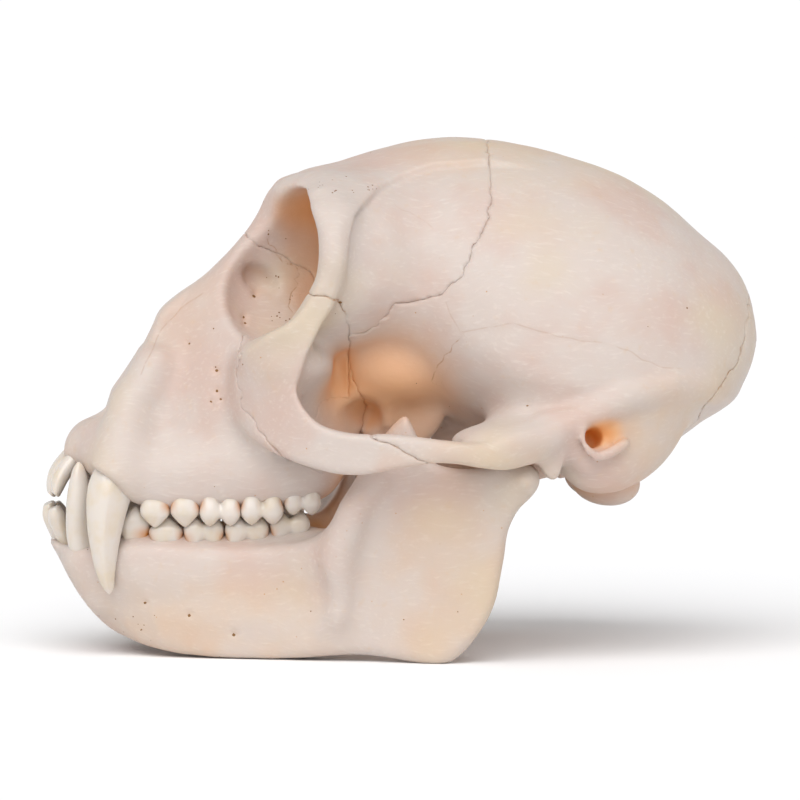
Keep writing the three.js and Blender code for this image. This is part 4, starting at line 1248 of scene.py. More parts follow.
CRANIUM_LINES = (
    Line(((-9.4, 56), (-9.1, 59.4), (-8.7, 63.7), (-7.9, 66.7), (-6.5, 68.5), (-3.9, 71.2), (-0.2, 73),
          (4, 74.4), (12, 75), (22, 73.6)), 6, 40, 0.03, 0.1, 2, drop=0.9),
    Line(((7.6, 49.3), (11.2, 50.3), (15.5, 50.8), (21.9, 49), (29.2, 47.8), (32.6, 46.9), (34.7, 45.4),
          (37.5, 44.4), (41.2, 44.1)), 18, 32, 0.2, 0.15, 1.6, drop=0.12),
    Line(((7.9, 49), (5.4, 45.6), (4.1, 43.2), (4.1, 38.6), (5.1, 35)), 17, 32, 0.45, 0.3, 0.9),
    Line(((4.9, 55.1), (7.6, 49.3)), 18, 32, 0.2, 0.15, 1.2),
    Line(((-2.1, 68.9), (3.9, 64.7)), 8, 32, 0.12, 0.4, 1.4),
    Line(((-30.2, 55), (-33.6, 52.6), (-36.6, 49.2), (-38.1, 46.2), (-40, 42.5)), 3, 14, 0.25, 0.12, 1.4),
    Line(((-20.9, 62.8), (-17.8, 59.4), (-15.6, 58.2), (-16.6, 53.7), (-17.1, 51.8)), 2, 12, 0.5, 0.5, 0.7),
    Line(((28.4, 76.4), (40, 70.2), (50, 61.4)), -1, 0.8, 0.3, 0.4, 1.2),
)
JAW_LINES = (
    Line(((-52, 16), (-48, 8), (-42, 2.5)), -1, 0.5, 0.25, 0.2, 1.5),
)


@dataclass(frozen=True)
class Shelter:
    """How far each place is walled in by the bone round it, read on a coarse block."""

    block: Block
    solid: Array

    @staticmethod
    def of(form: Form, cell: float = 1.0) -> "Shelter":
        """The shelter that a form gives."""
        block = Block((-60, -42, -8), (64, 42, 88), cell)
        return Shelter(block, np.clip(0.5 - block.read(form) / cell, 0, 1).astype(np.float32))

    def spread(self, reach: int) -> Array:
        """The share of bone within reach of each place.

        Args:
            reach: How many cells away is near.

        Returns:
            A number from 0 to 1 for each place of the block.
        """
        share = self.solid
        for _ in range(2):
            for side in range(3):
                pad = [(reach + 1, reach) if k == side else (0, 0) for k in range(3)]
                total = np.cumsum(np.pad(share, pad), axis=side)
                ahead = np.take(total, np.arange(2 * reach + 1, total.shape[side]), axis=side)
                behind = np.take(total, np.arange(0, total.shape[side] - 2 * reach - 1), axis=side)
                share = (ahead - behind) / (2 * reach + 1)
        return share

    def read(self, share: Array, points: Array) -> Array:
        """The share at a set of points, between the block's places.

        Args:
            share: What spread gives.
            points: Places, one row each.

        Returns:
            One number for each point.
        """
        starts = np.array([axis.reshape(-1)[0] for axis in self.block.axes()])
        at = (points - starts) / self.block.cell
        base = np.clip(np.floor(at).astype(int), 0, np.array(share.shape) - 2)
        t = at - base
        total = np.zeros(len(points))
        for corner in range(8):
            step = np.array([corner & 1, (corner >> 1) & 1, corner >> 2])
            i, j, k = (base + step).T
            total += share[i, j, k] * np.prod(np.where(step, t, 1 - t), axis=1)
        return total


# Finishes


def colour(code: str) -> tuple[float, float, float, float]:
    """A linear colour from an sRGB hex code.

    Args:
        code: Six hex digits.

    Returns:
        Red, green, blue and alpha for a shader.
    """
    parts = (int(code[i : i + 2], 16) / 255 for i in (0, 2, 4))
    return (*(c / 12.92 if c <= 0.04045 else ((c + 0.055) / 1.055) ** 2.4 for c in parts), 1.0)


def add(tree: Tree, kind: str, settings: dict, inputs: dict) -> bpy.types.Node:
    """Adds a node.

    Args:
        tree: Where it goes.
        kind: Its type.
        settings: Values of its own properties.
        inputs: Values or sockets for its inputs, by name or number.

    Returns:
        The node.
    """
    node = tree.nodes.new(kind)
    for name, value in settings.items():
        setattr(node, name, value)
    for name, value in inputs.items():
        if isinstance(value, Socket):
            tree.links.new(value, node.inputs[name])
        else:
            node.inputs[name].default_value = value
    return node


@dataclass(frozen=True)
class BoneFinish:
    """Dry cleaned bone: matt, warm ivory, with pink and yellow clouds, and painted peach shade where it is
    sheltered.
    """

    name: str = "dry_bone"
    ivory: str = "C6B9B1"
    pink: str = "C3ADA3"
    yellow: str = "C8B8A4"
    # painted shade: peach in sheltered places, orange in the deepest ones
    shaded: str = "E2AC7E"
    deep_shade: str = "DE8A3C"
    seam: str = "A06A36"
    stained: str = "D2B48C"
    fibre: str = "DDD4CB"
    fleck: str = "C8AB8B"
    pore: str = "B98552"
    roughness: float = 0.5
    cloud_mm: float = 16
    fleck_mm: float = 1.6
    fibre_mm: float = 0.5
    pore_mm: float = 2.2

    def blended(self, tree: Tree, amount: object, a: object, b: object) -> Socket:
        """Mixes two colours by an amount."""
        node = add(tree, "ShaderNodeMix", {"data_type": "RGBA"}, {0: amount, 6: a, 7: b})
        return node.outputs[2]

    def spread(self, tree: Tree, value: object, start: float, end: float) -> Socket:
        """A smooth 0 to 1 step of a value."""
        inputs = {"Value": value, "From Min": start, "From Max": end}
        return add(tree, "ShaderNodeMapRange", {"interpolation_type": "SMOOTHSTEP"}, inputs).outputs[0]

    def product(self, tree: Tree, a: object, b: object) -> Socket:
        """The product of two values."""
        return add(tree, "ShaderNodeMath", {"operation": "MULTIPLY"}, {0: a, 1: b}).outputs[0]

    def sum_of(self, tree: Tree, a: object, times: float, b: object) -> Socket:
        """The sum of b and some times a."""
        return add(tree, "ShaderNodeMath", {"operation": "MULTIPLY_ADD"}, {0: a, 1: times, 2: b}).outputs[0]

    def noise(self, tree: Tree, at: object, size: float, detail: float) -> Socket:
        """Noise whose blobs are about size millimetres wide."""
        inputs = {"Vector": at, "Scale": 1 / (size * MM), "Detail": detail, "Roughness": 0.55}
        return add(tree, "ShaderNodeTexNoise", {}, inputs).outputs[0]

    def mark(self, tree: Tree, name: str) -> Socket:
        """A number that the piece's points carry."""
        return add(tree, "ShaderNodeAttribute", {"attribute_name": name}, {}).outputs["Fac"]

    def material(self) -> bpy.types.Material:
        """Builds the material.

        Returns:
            The material.
        """
        made = bpy.data.materials.new(self.name)
        made.use_nodes = True
        tree = made.node_tree
        shader = tree.nodes["Principled BSDF"]
        at = add(tree, "ShaderNodeTexCoord", {}, {}).outputs["Object"]
        clouds = self.noise(tree, at, self.cloud_mm, 3)
        broad = self.noise(tree, at, self.cloud_mm * 1.7, 2)
        flecks = self.noise(tree, at, self.fleck_mm, 4)

        # Fibres run along the head and wander, so the noise is read at places bent by a broader one.
        bent = add(tree, "ShaderNodeVectorMath", {"operation": "MULTIPLY_ADD"}, {
            0: add(tree, "ShaderNodeTexNoise", {}, {"Vector": at, "Scale": 1 / (14 * MM)}).outputs["Color"],
            1: (0.006, 0.006, 0.006),
            2: at,
        }).outputs[0]
        drawn = add(tree, "ShaderNodeMapping", {}, {
            "Vector": bent, "Rotation": (0.2, 0.5, 0.1), "Scale": (0.2, 1, 1),
        })
        fibres = self.noise(tree, drawn.outputs[0], self.fibre_mm, 3)

        shade = self.mark(tree, "painted_shade")
        # Pink and yellow clouds: dry bone keeps traces of fat and blood, so it is never one even ivory.
        pinkish = self.spread(tree, clouds, 0.42, 0.68)
        base = self.blended(tree, pinkish, colour(self.ivory), colour(self.pink))
        base = self.blended(tree, self.spread(tree, broad, 0.5, 0.72), base, colour(self.yellow))
        # Pale fibres and tan flecks give the eye the grain of bone at arm's length.
        streaks = self.product(tree, self.spread(tree, fibres, 0.5, 0.8), 0.3)
        base = self.blended(tree, streaks, base, colour(self.fibre))
        specks = self.product(tree, self.spread(tree, flecks, 0.58, 0.8), 0.3)
        base = self.blended(tree, specks, base, colour(self.fleck))
        # Painted shade: sheltered places are painted peach, then orange, in place of the light that passes
        # from wall to wall and through thin bone.
        mottled_shade = self.sum_of(tree, clouds, 0.35, shade)
        base = self.blended(tree, self.spread(tree, mottled_shade, 0.14, 1), base, colour(self.shaded))
        base = self.blended(tree, self.spread(tree, mottled_shade, 0.8, 1.5), base, colour(self.deep_shade))
        stain = self.product(tree, self.mark(tree, "stain"), self.spread(tree, clouds, 0.3, 0.6))
        base = self.blended(tree, stain, base, colour(self.stained))

        side = add(tree, "ShaderNodeMath", {"operation": "ABSOLUTE"}, {0: self.mark(tree, "line")}).outputs[0]
        seam = self.spread(tree, side, 0.16, 0.03)
        broken = self.spread(tree, self.noise(tree, at, 1.3, 2), 0.3, 0.6)
        seam = self.product(tree, self.product(tree, seam, self.mark(tree, "strength")), broken)
        base = self.blended(tree, seam, base, colour(self.seam))

        # Vessel pores show as tiny tan dots, in patches: painted shade in the small holes, which the bump
        # also cuts in.
        cells = add(tree, "ShaderNodeTexVoronoi", {}, {"Vector": at, "Scale": 1 / (self.pore_mm * MM)})
        pores = cells.outputs["Distance"]
        sparse = self.spread(tree, self.noise(tree, at, 6, 2), 0.5, 0.62)
        pore = self.product(tree, self.spread(tree, pores, 0.075, 0.03), sparse)
        base = self.blended(tree, self.product(tree, pore, 0.75), base, colour(self.pore))
        tree.links.new(base, shader.inputs["Base Color"])

        rough = add(tree, "ShaderNodeMapRange", {}, {
            "Value": flecks, "To Min": self.roughness - 0.06, "To Max": self.roughness + 0.12,
        })
        tree.links.new(rough.outputs[0], shader.inputs["Roughness"])
        shader.inputs["Specular IOR Level"].default_value = 0.35
        shader.inputs["Subsurface Weight"].default_value = 0.12
        shader.inputs["Subsurface Radius"].default_value = (1.0, 0.5, 0.28)
        shader.inputs["Subsurface Scale"].default_value = 1.6 * MM
        height = self.sum_of(tree, fibres, 0.5, flecks)
        cut = add(tree, "ShaderNodeMath", {"operation": "ADD"}, {0: seam, 1: pore}).outputs[0]
        height = self.sum_of(tree, cut, -0.7, height)
        bump = add(tree, "ShaderNodeBump", {}, {"Strength": 0.55, "Distance": 0.1 * MM, "Height": height})
        tree.links.new(bump.outputs[0], shader.inputs["Normal"])
        return made


@dataclass(frozen=True)
class EnamelFinish(BoneFinish):
    """Tooth enamel: smooth, whiter and glossier than the bone, with a warm brown neck."""

    name: str = "tooth_enamel"
    white: str = "D3CAC1"
    cream: str = "D1C3AF"
    neck: str = "CDAA7C"
    growth: str = "D4C6AE"
    # painted shade in the gap between two teeth
    gap: str = "BF7A30"
    gloss: float = 0.26

    def material(self) -> bpy.types.Material:
        """Builds the material.

        Returns:
            The material.
        """
        made = bpy.data.materials.new(self.name)
        made.use_nodes = True
        tree = made.node_tree
        shader = tree.nodes["Principled BSDF"]
        at = add(tree, "ShaderNodeTexCoord", {}, {}).outputs["Object"]
        clouds = self.noise(tree, at, 3.5, 3)
        drawn = add(tree, "ShaderNodeMapping", {}, {"Vector": at, "Scale": (1, 1, 0.12)}).outputs[0]
        growth = self.noise(tree, drawn, 0.5, 3)
        # Cream clouds and growth streaks down the crown keep the enamel from looking like plastic.
        creamy = self.spread(tree, clouds, 0.4, 0.75)
        base = self.blended(tree, creamy, colour(self.white), colour(self.cream))
        streaks = self.product(tree, self.spread(tree, growth, 0.55, 0.8), 0.3)
        base = self.blended(tree, streaks, base, colour(self.growth))
        # The crown darkens to tan at its neck, and is painted brown where it meets the next tooth, as painted
        # shade in the gap.
        root = self.sum_of(tree, clouds, 1.2, self.mark(tree, "root"))
        base = self.blended(tree, self.spread(tree, root, -0.2, 2), base, colour(self.neck))
        base = self.blended(tree, self.mark(tree, "between"), base, colour(self.gap))
        tree.links.new(base, shader.inputs["Base Color"])
        shader.inputs["Roughness"].default_value = self.gloss
        shader.inputs["Specular IOR Level"].default_value = 0.5
        shader.inputs["IOR"].default_value = 1.62
        shader.inputs["Subsurface Weight"].default_value = 0.25
        shader.inputs["Subsurface Radius"].default_value = (1.0, 0.7, 0.45)
        shader.inputs["Subsurface Scale"].default_value = 1.2 * MM
        bump = add(tree, "ShaderNodeBump", {}, {"Strength": 0.25, "Distance": 0.06 * MM, "Height": growth})
        tree.links.new(bump.outputs[0], shader.inputs["Normal"])
        return made


@dataclass(frozen=True)
class PaperFinish:
    """The white paper that the skull lies on: flat white, so the eye rests on the shadow alone."""

    name: str = "white_paper"
    white: str = "FBFBFC"

    def material(self) -> bpy.types.Material:
        """Builds the material.

        Returns:
            The material.
        """
        made = bpy.data.materials.new(self.name)
        made.use_nodes = True
        tree = made.node_tree
        shader = tree.nodes["Principled BSDF"]
        at = add(tree, "ShaderNodeTexCoord", {}, {}).outputs["Object"]
        grain = add(tree, "ShaderNodeTexNoise", {}, {"Vector": at, "Scale": 1 / (0.8 * MM), "Detail": 3.0})
        shader.inputs["Base Color"].default_value = colour(self.white)
        shader.inputs["Roughness"].default_value = 0.9
        bump = add(tree, "ShaderNodeBump", {}, {
            "Strength": 0.05, "Distance": 0.05 * MM, "Height": grain.outputs[0],
        })
        tree.links.new(bump.outputs[0], shader.inputs["Normal"])
        return made


# Pieces


def piece(name: str, net: Net, finish: bpy.types.Material) -> bpy.types.Object:
    """Makes a mesh object of a net and lets it ride on the skull.

    Args:
        name: The piece's name.
        net: Its points and faces in millimetres.
        finish: Its material.

    Returns:
        The object.
    """
    mesh = bpy.data.meshes.new(name)
    mesh.vertices.add(len(net.points))
    mesh.vertices.foreach_set("co", ((net.points + [AHEAD, 0, 0]) * MM).astype(np.float32).ravel())
    mesh.loops.add(net.faces.size)
    mesh.loops.foreach_set("vertex_index", net.faces.astype(np.int32).ravel())
    mesh.polygons.add(len(net.faces))
    mesh.polygons.foreach_set("loop_start", np.arange(0, net.faces.size, 4, dtype=np.int32))
    mesh.polygons.foreach_set("use_smooth", np.ones(len(net.faces), dtype=bool))
    mesh.update(calc_edges=True)
    for mark, values in net.marks.items():
        mesh.attributes.new(mark, "FLOAT", "POINT").data.foreach_set("value", values.astype(np.float32))
    mesh.materials.append(finish)
    made = bpy.data.objects.new(name, mesh)
    bpy.context.scene.collection.objects.link(made)
    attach(made, "root")
    LOG.info("%s: %d faces", name, len(net.faces))
    return made


@dataclass(frozen=True)
class Surface:
    """What is added to a bare net of bone: its relief and the numbers that its finish reads."""

    shelter: Shelter
    near: Array
    far: Array
    groove_half: float = 0.3
    groove_depth: float = 0.12
    pit_depth: float = 0.8  # for each millimetre of a pit's radius
    pit_spread: float = 1.3  # how far a pit's slopes reach, in radii
    pit_search: float = 5.0  # a pit is sought this far from its stated distance to the midline
    swells: tuple[tuple[float, float], ...] = ((0.12, 8), (0.045, 2.6))  # heights and widths

    def openness(self, points: Array) -> Array:
        """How clearly a seam between two bones shows, from 0 to 1.

        Args:
            points: Places, one row each.

        Returns:
            One number for each point.
        """
        side = np.abs(points[:, 1])
        shown = 0.05 + 0.14 * cloud(points, 5, SEED + 5)
        for place, amount in OPEN_SEAMS:
            shown += amount * (1 - ramp(place(points[:, 0], side, points[:, 2]), -2, 2))
        return np.clip(shown, 0, 1)

    def slope(self, form: Form, points: Array) -> Array:
        """The way out of a body at points near its surface.

        Args:
            form: The body.
            points: Places, one row each.

        Returns:
            One unit row for each point.
        """
        steps = [points + 0.15 * axis for axis in np.vstack([np.eye(3), -np.eye(3)])]
        values = [form(at[:, 0], np.abs(at[:, 1]), at[:, 2]) for at in steps]
        total = np.stack([values[k] - values[k + 3] for k in range(3)], axis=1)
        return total / np.maximum(np.linalg.norm(total, axis=1, keepdims=True), 1e-9)

    def dressed(self, net: Net, form: Form, lines: Sequence[Line], border: Array | None) -> Net:
        """Gives a net its relief.

        Args:
            net: The bare net.
            form: The body that it was cut from, whole, so that neighbours stay together at a seam.
            lines: Seams and cracks drawn on it.
            border: Distance of each point from the bone's border, if it has one.

        Returns:
            The net with relief and marks.
        """
        points = net.points
        line = np.full(len(points), 1.5)
        strength = np.zeros(len(points))
        lowered = np.zeros(len(points))
        for i, drawn in enumerate(lines):
            for half in (-1, 1):
                signed, shown, drop = drawn.read(points, SEED + 2 * i + half)
                lowered += drop * (points[:, 1] * half >= 0)
                shown = shown * (points[:, 1] * half >= 0)
                nearer = (shown > 0) & (np.abs(signed) < np.abs(line))
                line = np.where(nearer, signed, line)
                strength = np.where(nearer, shown, strength)
        if border is not None:
            nearer = border < np.abs(line)
            line = np.where(nearer, border, line)
            strength = np.where(nearer, self.openness(points), strength)
        normals = self.slope(form, points)
        pits = np.zeros(len(points))
        for x, side, z, radius in PITS:
            at = points * [1, 1, 1] - [x, 0, z]
            away = np.hypot(at[:, 0], at[:, 2]) / radius
            there = np.abs(np.abs(points[:, 1]) - side) < self.pit_search
            pits += radius * np.exp(-((away / self.pit_spread) ** 2)) * there
        groove = strength * np.exp(-((line / self.groove_half) ** 2)) * self.groove_depth
        swell = sum(height * cloud(points, wide, SEED + i) for i, (height, wide) in enumerate(self.swells))
        # Painted shade: how walled in each point is, near and far, with the pits' slopes and the listed
        # warmer places, sets how strongly the finish paints it peach and orange.
        near = self.shelter.read(self.near, points + normals * 1.2)
        far = self.shelter.read(self.far, points + normals * 3)
        painted_shade = np.clip((near - 0.45) * 0.6, 0, 1) + np.clip((far - 0.41) * 1.2, 0, 1) + 0.4 * pits
        side = np.abs(points[:, 1])
        for place, amount, reach in PAINTED_SHADE_PLACES:
            painted_shade += amount * (1 - ramp(place(points[:, 0], side, points[:, 2]), -reach, reach))
        stain = np.zeros(len(points))
        for place, amount in YELLOW_PLACES:
            stain += amount * (1 - ramp(place(points[:, 0], side, points[:, 2]), -4, 5))
        marks = {"line": line, "strength": strength, "painted_shade": painted_shade, "stain": stain}
        lift = swell - groove - lowered - self.pit_depth * pits
        return Net(points + normals * lift[:, None], net.faces, marks)


@dataclass(frozen=True)
class Cranium:
    """The cranium's bones, parted at their seams."""

    form: CraniumForm = CraniumForm()
    seams: Seams = Seams()
    blocks: tuple[tuple[str, Bone, Point, Point, float], ...] = (
        ("forehead", Bone.FOREHEAD, (-30, -32, 46), (17, 32, 81), 0.42),
        ("braincase", Bone.BRAINCASE, (-13, -36, 20), (58, 36, 81), 0.51),
        ("occiput", Bone.OCCIPUT, (19, -26, 19), (58, 26, 62), 0.42),
        ("face", Bone.FACE, (-53, -26, 21), (-3, 26, 71), 0.36),
        ("cheekbone_left", Bone.CHEEK, (-28, -38, 26), (6, -12, 58), 0.34),
        ("cheekbone_right", Bone.CHEEK, (-28, 12, 26), (6, 38, 58), 0.34),
    )

    def build(self, surface: Surface, finish: bpy.types.Material) -> list[Net]:
        """Builds the bones.

        Args:
            surface: What gives them their relief.
            finish: Their material.

        Returns:
            Each bone's net.
        """
        made = []
        for node, bone, lowest, highest, cell in self.blocks:
            block = Block(lowest, highest, cell * (1))
            x, y, z = block.axes()
            border = region(self.seams, bone, x, y, z)
            net = block.net(high(block.read(self.form), border, 0.15))
            edge = -region(self.seams, bone, *net.points.T)
            net = surface.dressed(net, self.form, CRANIUM_LINES, np.abs(edge + self.seams.gap / 2))
            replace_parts(piece(f"bone_{node}", net, finish), node)
            made.append(net)
        return made


@dataclass(frozen=True)
class Jaw:
    """The lower jaw's bone."""

    form: JawForm = JawForm()
    cell: float = 0.42

    def build(self, surface: Surface, finish: bpy.types.Material) -> Net:
        """Builds the jaw.

        Args:
            surface: What gives it its relief.
            finish: Its material.

        Returns:
            The jaw's net.
        """
        block = Block((-56, -32, -2), (21, 32, 40), self.cell * (1))
        net = surface.dressed(block.net(block.read(self.form)), self.form, JAW_LINES, None)
        net.points[:, 2] = np.maximum(net.points[:, 2], 0)
        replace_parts(piece("bone_lower_jaw", net, finish), "lower_jaw")
        return net


@dataclass(frozen=True)
class TeethRow:
    """A row of teeth, on both sides of one jaw."""

    name: str
    teeth: tuple[Tooth, ...]
    opposed: tuple[Tooth, ...] = ()
    cell: float = 0.2

    def build(self, finish: bpy.types.Material) -> bpy.types.Object:
        """Builds the row.

        Args:
            finish: Its material.

        Returns:
            The row's object.
        """
        nets = []
        for tooth in self.teeth:
            lowest, highest = tooth.box()
            block = Block(lowest, highest, self.cell * (1))
            values = block.read(tooth)
            for other in self.opposed:
                values = high(values, 0.08 - block.read(other), 0.1)
            net = block.net(values)
            others = [t for t in self.teeth if t is not tooth]
            gap = reduce(np.minimum, (t(*net.points.T) for t in others))
            root = tooth.root(net.points)
            # between: painted shade on a crown where it comes close to the next tooth
            marks = {"root": root, "between": np.clip(1.1 - gap, 0, 1) * ramp(root, -3, -0.8)}
            net = Net(net.points, net.faces, marks)
            nets += [net, net.mirrored()]
        return piece(self.name, Net.together(nets), finish)


# Pores


@dataclass(frozen=True)
class PoreFinish:
    """Painted shade for the depth of a small hole: dark ochre and quite matt, so that a flat dot reads as a
    hole.
    """

    name: str = "pore_painted_shade"
    ochre: str = "94704A"
    brown: str = "6B4E36"

    def material(self) -> bpy.types.Material:
        """Builds the material.

        Returns:
            The material.
        """
        made = bpy.data.materials.new(self.name)
        made.use_nodes = True
        tree = made.node_tree
        shader = tree.nodes["Principled BSDF"]
        at = add(tree, "ShaderNodeTexCoord", {}, {}).outputs["Object"]
        tone = add(tree, "ShaderNodeTexNoise", {}, {"Vector": at, "Scale": 1 / (3 * MM)}).outputs[0]
        mixed = add(tree, "ShaderNodeMix", {"data_type": "RGBA"}, {
            0: tone, 6: colour(self.ochre), 7: colour(self.brown),
        })
        tree.links.new(mixed.outputs[2], shader.inputs["Base Color"])
        shader.inputs["Roughness"].default_value = 1.0
        shader.inputs["Specular IOR Level"].default_value = 0.1
        return made


@dataclass(frozen=True)
class Pores:
    """The skull's pores: fine ones scattered over the porous places, and the larger ones of PITS."""

    name: str = "pores"
    close: float = 0.55  # fine pores to a square millimetre where they lie close together
    smallest: float = 0.07
    largest: float = 0.15
    seed: int = SEED

    def tree(self, finish: bpy.types.Material) -> Tree:
        """The node group that sets a flat dot of painted pore shade on every pore.

        Args:
            finish: The dots' material.

        Returns:
            The group. Its inputs are the ground, the pores' density and their smallest and largest radius.
        """
        tree = bpy.data.node_groups.new("pore_scatter", "GeometryNodeTree")
        tree.interface.new_socket(name="Ground", in_out="INPUT", socket_type="NodeSocketGeometry")
        for name in ("Density", "Smallest", "Largest"):
            tree.interface.new_socket(name=name, in_out="INPUT", socket_type="NodeSocketFloat")
        tree.interface.new_socket(name="Seed", in_out="INPUT", socket_type="NodeSocketInt")
        tree.interface.new_socket(name="Pores", in_out="OUTPUT", socket_type="NodeSocketGeometry")
        given = add(tree, "NodeGroupInput", {}, {}).outputs
        porous, size, aim = (
            add(tree, "GeometryNodeInputNamedAttribute", {"data_type": kind}, {"Name": name}).outputs[0]
            for name, kind in (("porous", "FLOAT"), ("size", "FLOAT"), ("aim", "FLOAT_VECTOR"))
        )
        density = add(tree, "ShaderNodeMath", {"operation": "MULTIPLY"}, {0: porous, 1: given["Density"]})
        scatter = add(tree, "GeometryNodeDistributePointsOnFaces", {"distribute_method": "RANDOM"}, {
            "Mesh": given["Ground"], "Density": density.outputs[0], "Seed": given["Seed"],
        })
        ball = add(tree, "GeometryNodeMeshIcoSphere", {}, {"Radius": 1.0, "Subdivisions": 2}).outputs[0]
        dot = add(tree, "GeometryNodeTransform", {}, {"Geometry": ball, "Scale": (1, 1, 0.25)}).outputs[0]
        radius = add(tree, "FunctionNodeRandomValue", {"data_type": "FLOAT"}, {
            2: given["Smallest"], 3: given["Largest"], "Seed": given["Seed"],
        }).outputs[1]
        fine = add(tree, "GeometryNodeInstanceOnPoints", {}, {
            "Points": scatter.outputs["Points"], "Instance": dot, "Rotation": scatter.outputs["Rotation"],
            "Scale": radius,
        }).outputs[0]
        turned = add(tree, "FunctionNodeAlignRotationToVector", {"axis": "Z"}, {"Vector": aim}).outputs[0]
        large = add(tree, "GeometryNodeInstanceOnPoints", {}, {
            "Points": given["Ground"], "Selection": size, "Instance": dot, "Rotation": turned, "Scale": size,
        }).outputs[0]
        both = add(tree, "GeometryNodeJoinGeometry", {}, {})
        tree.links.new(fine, both.inputs[0])
        tree.links.new(large, both.inputs[0])
        real = add(tree, "GeometryNodeRealizeInstances", {}, {0: both.outputs[0]}).outputs[0]
        dressed = add(tree, "GeometryNodeSetMaterial", {}, {"Geometry": real, "Material": finish}).outputs[0]
        end = add(tree, "NodeGroupOutput", {}, {})
        tree.links.new(dressed, end.inputs[0])
        return tree

    def ground(self, nets: Sequence[Net]) -> bpy.types.Object:
        """The porous parts of the bones as one mesh, with a loose point for each larger pore.

        Args:
            nets: The bones' nets.

        Returns:
            The mesh's object.
        """
        net = Net.together(nets)
        side = np.abs(net.points[:, 1])
        porous = np.full(len(net.points), 0.003)
        for place in PORES:
            there = 1 - ramp(place(net.points[:, 0], side, net.points[:, 2]), -1.5, 0.5)
            porous += there * ramp(cloud(net.points, 2.4, SEED + 9), 0, 0.5)
        normals = net.normals()
        outer = np.einsum("ij,ij->i", normals, np.sign(net.points) * [0, 1, 0]) > 0.2
        holes, aims, sizes = [], [], []
        for x, y, z, radius in PITS:
            for half in (-1, 1):
                away = np.linalg.norm((net.points - [x, half * y, z]) * [1, 0.3, 1], axis=1)
                i = np.where(outer, away, np.inf).argmin()
                holes.append(net.points[i])
                aims.append(normals[i])
                sizes.append(radius * 0.75 * MM)
        mesh = bpy.data.meshes.new("porous_ground")
        points = np.concatenate([net.points, holes]) + [AHEAD, 0, 0]
        mesh.from_pydata((points * MM).tolist(), [], net.faces[porous[net.faces].mean(axis=1) > 0].tolist())
        marks = {
            "porous": np.concatenate([porous, np.zeros(len(holes))]),
            "size": np.concatenate([np.zeros(len(net.points)), sizes]),
        }
        for mark, values in marks.items():
            mesh.attributes.new(mark, "FLOAT", "POINT").data.foreach_set("value", values.astype(np.float32))
        ways = np.concatenate([normals, aims]).astype(np.float32)
        mesh.attributes.new("aim", "FLOAT_VECTOR", "POINT").data.foreach_set("vector", ways.ravel())
        made = bpy.data.objects.new("porous_ground", mesh)
        bpy.context.scene.collection.objects.link(made)
        return made

    def build(self, nets: Sequence[Net], finish: bpy.types.Material) -> bpy.types.Object:
        """Builds the pores.

        Args:
            nets: The bones' nets.
            finish: The dots' material.

        Returns:
            One object with every pore.
        """
        ground = self.ground(nets)
        tree = self.tree(finish)
        change = ground.modifiers.new("pore_scatter", "NODES")
        change.node_group = tree
        values = {
            "Density": self.close / MM**2, "Smallest": self.smallest * MM, "Largest": self.largest * MM,
            "Seed": self.seed,
        }
        for name, value in values.items():
            change[tree.interface.items_tree[name].identifier] = value
        whole = ground.evaluated_get(bpy.context.evaluated_depsgraph_get())
        mesh = bpy.data.meshes.new_from_object(whole)
        bpy.data.objects.remove(ground)
        made = bpy.data.objects.new(self.name, mesh)
        bpy.context.scene.collection.objects.link(made)
        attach(made, "root")
        LOG.info("%s: %d faces", self.name, len(mesh.polygons))
        return made


# Studio


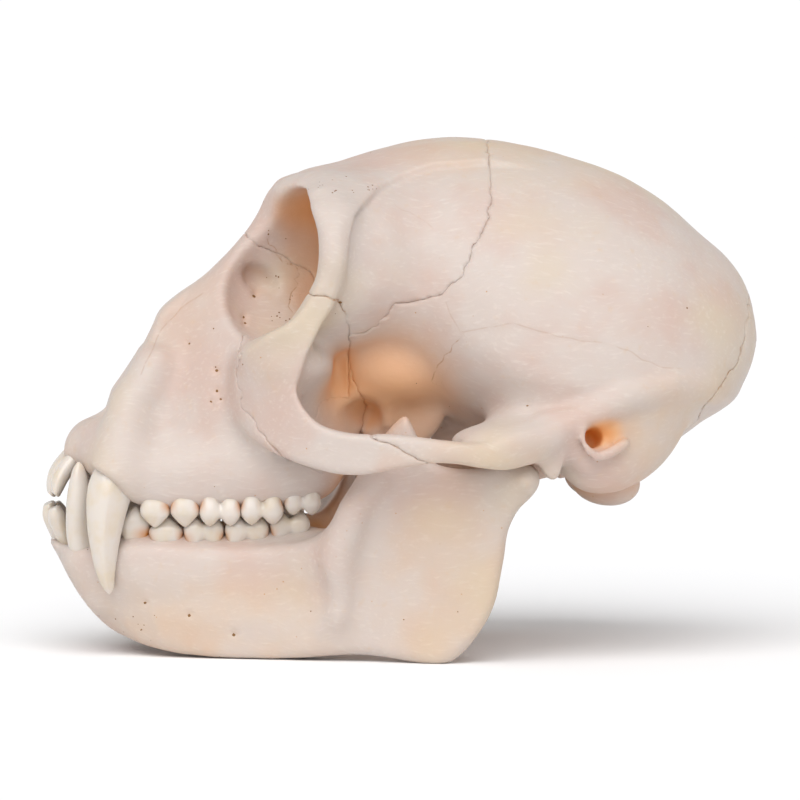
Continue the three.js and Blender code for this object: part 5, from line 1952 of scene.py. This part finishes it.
@dataclass(frozen=True)
class Studio:
    """A white table, soft light from all round, and the camera."""

    azimuth: float = -3
    elevation: float = 3
    distance: float = 0.8
    height: float = 0.0381  # of the middle of the view
    field: float = 8.79  # the view's angle in degrees
    sun_place: Point = (-0.15, -0.8, 1)
    sun_power: float = 2.45
    sun_angle: float = 60  # how wide it is, in degrees
    horizon: float = 1.03  # the sky's strength near the floor
    overhead: float = 0.42

    def build(self) -> None:
        """Builds the floor, the lights and the camera."""
        self.floor()
        self.sun()
        world = bpy.data.worlds.new("soft_white")
        world.use_nodes = True
        tree = world.node_tree
        way = add(tree, "ShaderNodeTexCoord", {}, {}).outputs["Generated"]
        height = add(tree, "ShaderNodeSeparateXYZ", {}, {0: way}).outputs["Z"]
        ranges = {
            "Value": height,
            "From Min": 0.05,
            "From Max": 0.5,
            "To Min": self.horizon,
            "To Max": self.overhead,
        }
        light = add(tree, "ShaderNodeMapRange", {}, ranges).outputs[0]
        tree.links.new(light, tree.nodes["Background"].inputs["Strength"])
        tree.nodes["Background"].inputs["Color"].default_value = (1, 1, 1, 1)
        bpy.context.scene.world = world
        bpy.context.scene.view_settings.view_transform = "Standard"
        self.camera()

    def floor(self) -> None:
        """Lays the floor."""
        mesh = bpy.data.meshes.new("floor")
        reach = 40.0
        corners = [(-reach, -reach, 0), (reach, -reach, 0), (reach, reach, 0), (-reach, reach, 0)]
        mesh.from_pydata(corners, [], [(0, 1, 2, 3)])
        mesh.materials.append(PaperFinish().material())
        made = bpy.data.objects.new("floor", mesh)
        bpy.context.scene.collection.objects.link(made)

    def sun(self) -> None:
        """Hangs one very soft light, far off."""
        lamp = bpy.data.lights.new("soft_sun", "SUN")
        lamp.angle = math.radians(self.sun_angle)
        lamp.energy = self.sun_power
        made = bpy.data.objects.new("soft_sun", lamp)
        made.rotation_mode = "QUATERNION"
        made.rotation_quaternion = Vector(self.sun_place).to_track_quat("Z", "Y")
        bpy.context.scene.collection.objects.link(made)

    def camera(self) -> None:
        """Sets the camera up as the photograph was taken."""
        turn, rise = math.radians(self.azimuth), math.radians(self.elevation)
        back = Vector((math.sin(turn) * math.cos(rise), -math.cos(turn) * math.cos(rise), math.sin(rise)))
        data = bpy.data.cameras.new("camera")
        data.angle = math.radians(self.field)
        data.clip_start = 0.01
        data.clip_end = 50
        made = bpy.data.objects.new("camera", data)
        made.location = Vector((AHEAD * MM, 0, self.height)) + back * self.distance
        made.rotation_mode = "QUATERNION"
        made.rotation_quaternion = (-back).to_track_quat("-Z", "Y")
        bpy.context.scene.collection.objects.link(made)
        bpy.context.scene.camera = made


def main() -> None:
    """Builds the skull's pieces in order, then the studio."""
    logging.basicConfig(level=logging.INFO, format="%(name)s: %(message)s")
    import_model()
    Studio().build()
    bone = BoneFinish().material()
    enamel = EnamelFinish().material()
    cranium, jaw = Cranium(), Jaw()
    shelter = Shelter.of(join(0.5, cranium.form, jaw.form))
    surface = Surface(shelter, shelter.spread(2), shelter.spread(5))
    nets = cranium.build(surface, bone)
    nets.append(jaw.build(surface, bone))
    Pores().build(nets, PoreFinish().material())
    TeethRow("teeth_upper", UPPER_TEETH, cell=0.225).build(enamel)
    TeethRow("teeth_lower", LOWER_TEETH, UPPER_TEETH).build(enamel)


if __name__ == "__main__":
    main()
